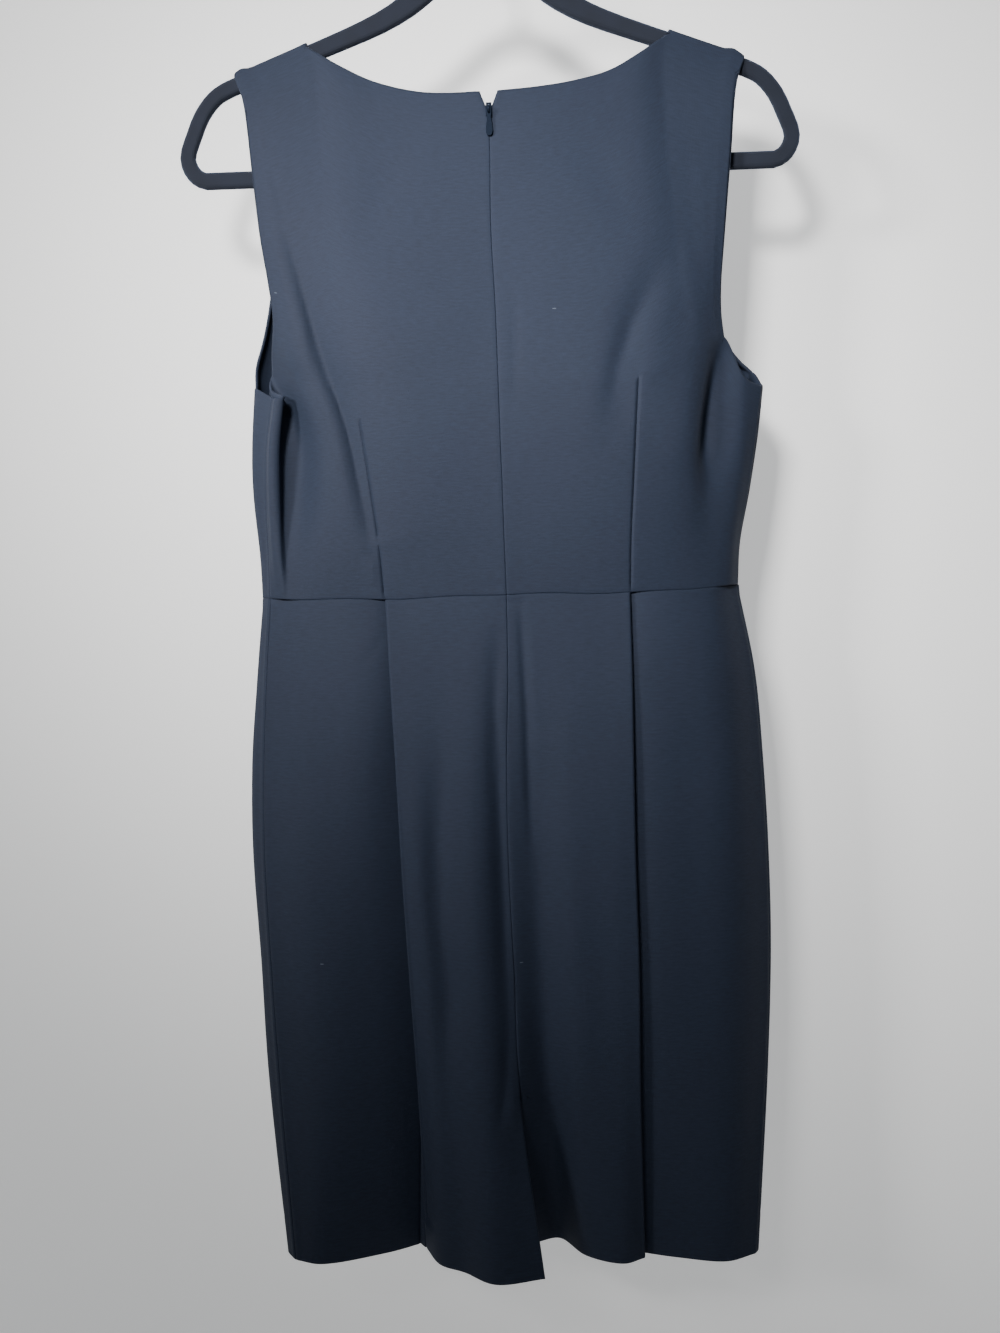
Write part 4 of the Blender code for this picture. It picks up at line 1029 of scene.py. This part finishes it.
# Each panel's rows, whether it is skirt and back, its dart's side and the solid that it dresses.
panels = {
    "bodiceBackLeftCloth": (bodiceBack(-1), False, True, "left", "bodice_back_left"),
    "bodiceBackRightCloth": (bodiceBack(1), False, True, "right", "bodice_back_right"),
    "bodiceFrontCloth": (bodiceFront(), False, False, None, "bodice_front"),
    "skirtBackLeftCloth": (skirtBack(-1), True, True, None, "skirt_back_left"),
    "skirtBackRightCloth": (skirtBack(1), True, True, None, "skirt_back_right"),
    "skirtFrontCloth": (skirtFront(), True, False, None, "skirt_front"),
}
for pieceName, (rows, isSkirt, isBack, dartHand, node) in panels.items():
    panel, area = clothPanel(pieceName, knit, rows, isSkirt, isBack, dartHand)
    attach(panel, "dress")
    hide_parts(node)
    low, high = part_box(node)
    flat = (high.x - low.x, high.z - low.z)
    if area > flat[0] * flat[1]:            # folds take up more cloth than the box has
        flat = (area / flat[1] * 1.001, flat[1])
    print("  ", pieceName, len(panel.data.polygons), "faces,", round(area, 4), "square metres")

print("hanger and metal")


def flockMaterial():
    look = {"colour": (0.006, 0.009, 0.018), "roughness": 0.95, "rub": 60.0, "rubDepth": 0.7,
            "grain": 2600.0, "bump": 0.5, "bumpDistance": 0.0002, "sheen": 0.6,
            "sheenRoughness": 0.4, "sheenTint": (0.42, 0.56, 0.92)}
    material, shader = plainMaterial("blackFlock", look["colour"], look["roughness"])
    tree = material.node_tree
    place = addNode(tree, "ShaderNodeTexCoord", (-900, 0)).outputs["Object"]
    grain = noiseNode(tree, place, look["grain"], 2.0, (-700, 0))
    rub = noiseNode(tree, place, look["rub"], 4.0, (-700, 220))
    dark = 1 - look["rubDepth"] / 2
    shade = mathNode(tree, "MULTIPLY_ADD", (rub.outputs["Fac"], look["rubDepth"], dark), (-500, 220))
    colour = shadedColour(tree, look["colour"], shade, (-320, 220))
    tree.links.new(colour, shader.inputs["Base Color"])
    addBump(tree, shader, grain.outputs["Fac"], look["bump"], look["bumpDistance"], (-320, -160))
    addSheen(shader, look["sheen"], look["sheenRoughness"], look["sheenTint"])
    return material


scratched = {
    "darkEnamel": {"colour": (0.035, 0.050, 0.085), "roughness": 0.14, "metallic": 0.75, "scratch": 0.08},
    "brightWire": {"colour": (0.72, 0.72, 0.74), "roughness": 0.2, "metallic": 1.0, "scratch": 0.12},
    "zipPlastic": {"colour": (0.010, 0.012, 0.020), "roughness": 0.4, "metallic": 0.0, "scratch": 0.1},
}


def scratchedMaterial(name):
    look = scratched[name]
    material, shader = plainMaterial(name, look["colour"], look["roughness"], look["metallic"])
    tree = material.node_tree
    place = addNode(tree, "ShaderNodeTexCoord", (-900, 0)).outputs["Object"]
    marks = addNode(tree, "ShaderNodeGroup", (-500, 0), node_tree=fineScratches)
    marks.inputs["Roughness"].default_value = look["roughness"]
    marks.inputs["Scratch"].default_value = look["scratch"]
    tree.links.new(place, marks.inputs["Place"])
    tree.links.new(marks.outputs["Roughness"], shader.inputs["Roughness"])
    return material


flock = flockMaterial()
enamel = scratchedMaterial("darkEnamel")
steel = scratchedMaterial("brightWire")
for node, material in (("hanger_frame", flock), ("hanger_hook", steel), ("zip_slider", enamel),
                       ("zip_pull_tab", enamel)):
    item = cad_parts[node]
    item.data.materials.clear()
    item.data.materials.append(material)

print("zip")


def tapeMaterial():
    look = {"colour": (0.010, 0.013, 0.021), "roughness": 0.85, "bumpDistance": 0.0001}
    material, shader = plainMaterial("zipTape", look["colour"], look["roughness"])
    tree = material.node_tree
    place = addNode(tree, "ShaderNodeUVMap", (-900, 0), uv_map="tapeMap")
    threads = []
    for direction in ("X", "Y"):
        wave = addNode(tree, "ShaderNodeTexWave", (-700, 200 * len(threads)), bands_direction=direction)
        wave.inputs["Scale"].default_value = zipTapes["threads"]
        wave.inputs["Distortion"].default_value = 0.6
        tree.links.new(place.outputs["UV"], wave.inputs["Vector"])
        threads.append(wave.outputs["Fac"])
    weave = mathNode(tree, "MULTIPLY", threads, (-480, 100))
    shade = mathNode(tree, "MULTIPLY_ADD", (weave, 0.5, 0.8), (-320, 260))
    tree.links.new(shadedColour(tree, look["colour"], shade, (-160, 260)), shader.inputs["Base Color"])
    addBump(tree, shader, weave, zipTapes["weaveBump"], look["bumpDistance"], (-160, -160))
    return material


def centreLine(side):               # the zipped edge and the cloth's run beside it, from the end up
    edge, beside = (-1, -4) if side < 0 else (0, 3)
    hand = "Left" if side < 0 else "Right"
    pairs = []
    for name in ("skirtBack" + hand + "Cloth", "bodiceBack" + hand + "Cloth"):
        for row in panels[name][0]:
            points = [point for point in row if point is not None]
            if zipTapes["endZ"] < points[edge].z < zipTapes["topZ"]:
                pairs.append((points[edge], (points[beside] - points[edge]).normalized()))
    return pairs


def addTape(name, side, node, material):
    size = zipTapes
    sheet = bmesh.new()
    tapeMap = sheet.loops.layers.uv.new("tapeMap")
    columns = [size["inset"] + size["width"] * k / size["cells"] for k in range(size["cells"] + 1)]
    rows, run, last = [], 0.0, None
    for point, across in centreLine(side):
        run += (point - last).length if last else 0
        last = point
        inwards = Vector((-across.y, across.x, 0)) * (1 if across.x > 0 else -1) * size["depth"]
        row = []
        for column in columns:
            vert = sheet.verts.new((point + across * column + inwards) * mm)
            row.append((vert, (column * mm, run * mm)))
        rows.append(row)
    for low, high in zip(rows, rows[1:]):
        for k in range(size["cells"]):
            corners = [low[k], low[k + 1], high[k + 1], high[k]]
            corners = corners if side > 0 else corners[::-1]
            face = sheet.faces.new([vert for vert, place in corners])
            face.smooth = True
            for loop, (vert, place) in zip(face.loops, corners):
                loop[tapeMap].uv = place
    strip = addSheet(sheet, name, material, size["wall"])
    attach(strip, "dress")
    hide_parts(node)


def toothPlaces():
    # along the closed seam at an even pitch, to the left and the right of it in turn
    places, passed = [], 0.0
    line = [point for point, across in centreLine(-1)]
    for point, following in zip(line, line[1:]):
        length = (following - point).length
        while passed < length:
            hook = zipTeeth["hook"] * (1 if len(places) % 2 else -1)
            places.append(point.lerp(following, passed / length) + Vector((hook, zipTeeth["depth"], 0)))
            passed += zipTeeth["pitch"]
        passed -= length
    return places


def addTeeth(material):
    # one small rounded block, copied to each tooth's place and joined
    bpy.ops.object.select_all(action="DESELECT")
    bpy.ops.mesh.primitive_cube_add(size=1, calc_uvs=False)
    block = bpy.context.object
    block.scale = Vector(zipTeeth["size"]) * mm
    bpy.ops.object.transform_apply(location=False, rotation=False, scale=True)
    bpy.ops.object.mode_set(mode="EDIT")
    bpy.ops.mesh.select_all(action="SELECT")
    bpy.ops.mesh.bevel(offset=zipTeeth["rounding"] * mm, segments=1, affect="EDGES")
    bpy.ops.object.mode_set(mode="OBJECT")
    block.data.materials.append(material)
    bpy.ops.object.select_all(action="DESELECT")
    places = toothPlaces()
    for place in places:
        tooth = block.copy()
        tooth.data = block.data.copy()
        tooth.data.transform(Matrix.Translation(place * mm))
        bpy.context.scene.collection.objects.link(tooth)
        tooth.select_set(True)
    bpy.context.view_layer.objects.active = tooth
    bpy.ops.object.join()
    bpy.data.objects.remove(block)
    tooth.name = "zipTeeth"
    tooth.data.name = "zipTeeth"
    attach(tooth, "dress")
    print("  ", len(places), "teeth")


tape = tapeMaterial()
addTape("zipTapeLeftWeave", -1, "zip_tape_left", tape)
addTape("zipTapeRightWeave", 1, "zip_tape_right", tape)
addTeeth(scratchedMaterial("zipPlastic"))

print("camera, light and stage")

view = {"place": (0.01792, -0.71791, -0.59301), "turn": 1.5, "roll": 1.5, "focalPixels": 1001.0,
        "longSide": 1333}
stage = {"wallY": 0.075, "wallSize": (8, 6), "floorPlace": (0, -1.2, -1.32), "floorSize": (8, 8),
         "floorColour": (0.58, 0.58, 0.575), "floorRoughness": 0.8, "skyColour": (0.78, 0.89, 1.0),
         "skyStrength": 0.14}
lights = {
    "windowLight": {"place": (-1.65, -1.28, 0.1), "aim": (0.06, 0.0, -0.32), "side": 0.4,
                    "power": 2.45, "spread": 41, "colour": (1.0, 0.985, 0.97)},
    "roomLight": {"place": (-0.42, -1.2, 0.15), "aim": (0.03, 0.0, -0.33), "side": 0.3,
                  "power": 2.35, "spread": 43, "colour": (1.0, 0.985, 0.98)},
    "frontSideLight": {"place": (0.6, 2.0, 0.6), "aim": (0, 0, -0.6), "side": 1.6,
                       "power": 20, "spread": 180, "colour": (1, 1, 1)},
}


def addCamera():
    turn, roll = math.radians(view["turn"]), math.radians(view["roll"])
    forward = Vector((-math.sin(turn), math.cos(turn), 0))
    level = Vector((math.cos(turn), math.sin(turn), 0))
    upright = level.cross(forward)
    right = level * math.cos(roll) - upright * math.sin(roll)
    up = level * math.sin(roll) + upright * math.cos(roll)
    data = bpy.data.cameras.new("photoCamera")
    data.sensor_width = 36.0
    data.lens = view["focalPixels"] / view["longSide"] * data.sensor_width
    data.clip_start, data.clip_end = 0.02, 50
    camera = bpy.data.objects.new("photoCamera", data)
    bpy.context.scene.collection.objects.link(camera)
    turnMatrix = Matrix((right, up, -forward)).transposed()
    camera.matrix_world = Matrix.Translation(view["place"]) @ turnMatrix.to_4x4()
    bpy.context.scene.camera = camera


def addLight(name, settings):
    data = bpy.data.lights.new(name, "AREA")
    data.shape = "RECTANGLE"
    data.size = data.size_y = settings["side"]
    data.energy = settings["power"]
    data.spread = math.radians(settings["spread"])
    data.color = settings["colour"]
    light = bpy.data.objects.new(name, data)
    bpy.context.scene.collection.objects.link(light)
    light.location = settings["place"]
    aim = Vector(settings["aim"]) - Vector(settings["place"])
    light.rotation_euler = aim.to_track_quat("-Z", "Y").to_euler()


def stagePlane(name, centre, size, turn, material):
    bpy.ops.object.select_all(action="DESELECT")
    bpy.ops.mesh.primitive_plane_add(size=1, location=centre, rotation=turn)
    plane = bpy.context.object
    plane.name = name
    plane.scale = (*size, 1)
    bpy.ops.object.transform_apply(location=True, rotation=True, scale=True)
    plane.data.materials.append(material)


def wallMaterial():
    # seen from in front only, so that the views and the light from behind pass through it; it glows with
    # painted light, brighter towards the top
    look = {"colour": (0.80, 0.80, 0.795), "roughness": 0.9, "gloss": 0.1, "paintedGlow": (1, 1, 0.995),
            "lowZ": -1.2, "highZ": -0.1, "paintedGlowLow": 0.36, "paintedGlowHigh": 0.66}
    material, shader = plainMaterial("paleWall", look["colour"], look["roughness"])
    shader.inputs["Emission Color"].default_value = (*look["paintedGlow"], 1)
    shader.inputs["Specular IOR Level"].default_value = look["gloss"]
    tree = material.node_tree
    place = addNode(tree, "ShaderNodeTexCoord", (-800, -200))
    parts = addNode(tree, "ShaderNodeSeparateXYZ", (-600, -200))
    # painted light: the wall's glow rises with height, so the wall is brighter towards the top without a
    # lamp
    paintedGlow = addNode(tree, "ShaderNodeMapRange", (-400, -200))
    tree.links.new(place.outputs["Object"], parts.inputs[0])
    tree.links.new(parts.outputs["Z"], paintedGlow.inputs["Value"])
    for socketName, value in (("From Min", look["lowZ"]), ("From Max", look["highZ"]),
                              ("To Min", look["paintedGlowLow"]), ("To Max", look["paintedGlowHigh"])):
        paintedGlow.inputs[socketName].default_value = value
    tree.links.new(paintedGlow.outputs["Result"], shader.inputs["Emission Strength"])
    backs = addNode(tree, "ShaderNodeNewGeometry", (-400, 300)).outputs["Backfacing"]
    shadows = addNode(tree, "ShaderNodeLightPath", (-400, 600)).outputs["Is Shadow Ray"]
    unseen = mathNode(tree, "MAXIMUM", (backs, shadows), (-200, 400))
    clear = addNode(tree, "ShaderNodeBsdfTransparent", (0, 200))
    blend = addNode(tree, "ShaderNodeMixShader", (300, 200))
    for source, socket in zip((unseen, shader.outputs[0], clear.outputs[0]), blend.inputs):
        tree.links.new(source, socket)
    tree.links.new(blend.outputs[0], tree.nodes["Material Output"].inputs["Surface"])
    return material


addCamera()
wallTurn = (math.radians(90), 0, 0)
stagePlane("paleWall", (0, stage["wallY"], 0), stage["wallSize"], wallTurn, wallMaterial())
paleFloor = plainMaterial("paleFloor", stage["floorColour"], stage["floorRoughness"])[0]
stagePlane("paleFloor", stage["floorPlace"], stage["floorSize"], (0, 0, 0), paleFloor)
for lightName, settings in lights.items():
    addLight(lightName, settings)
world = bpy.data.worlds.new("studio")
bpy.context.scene.world = world
world.use_nodes = True
sky = world.node_tree.nodes["Background"]
sky.inputs["Color"].default_value = (*stage["skyColour"], 1)
sky.inputs["Strength"].default_value = stage["skyStrength"]
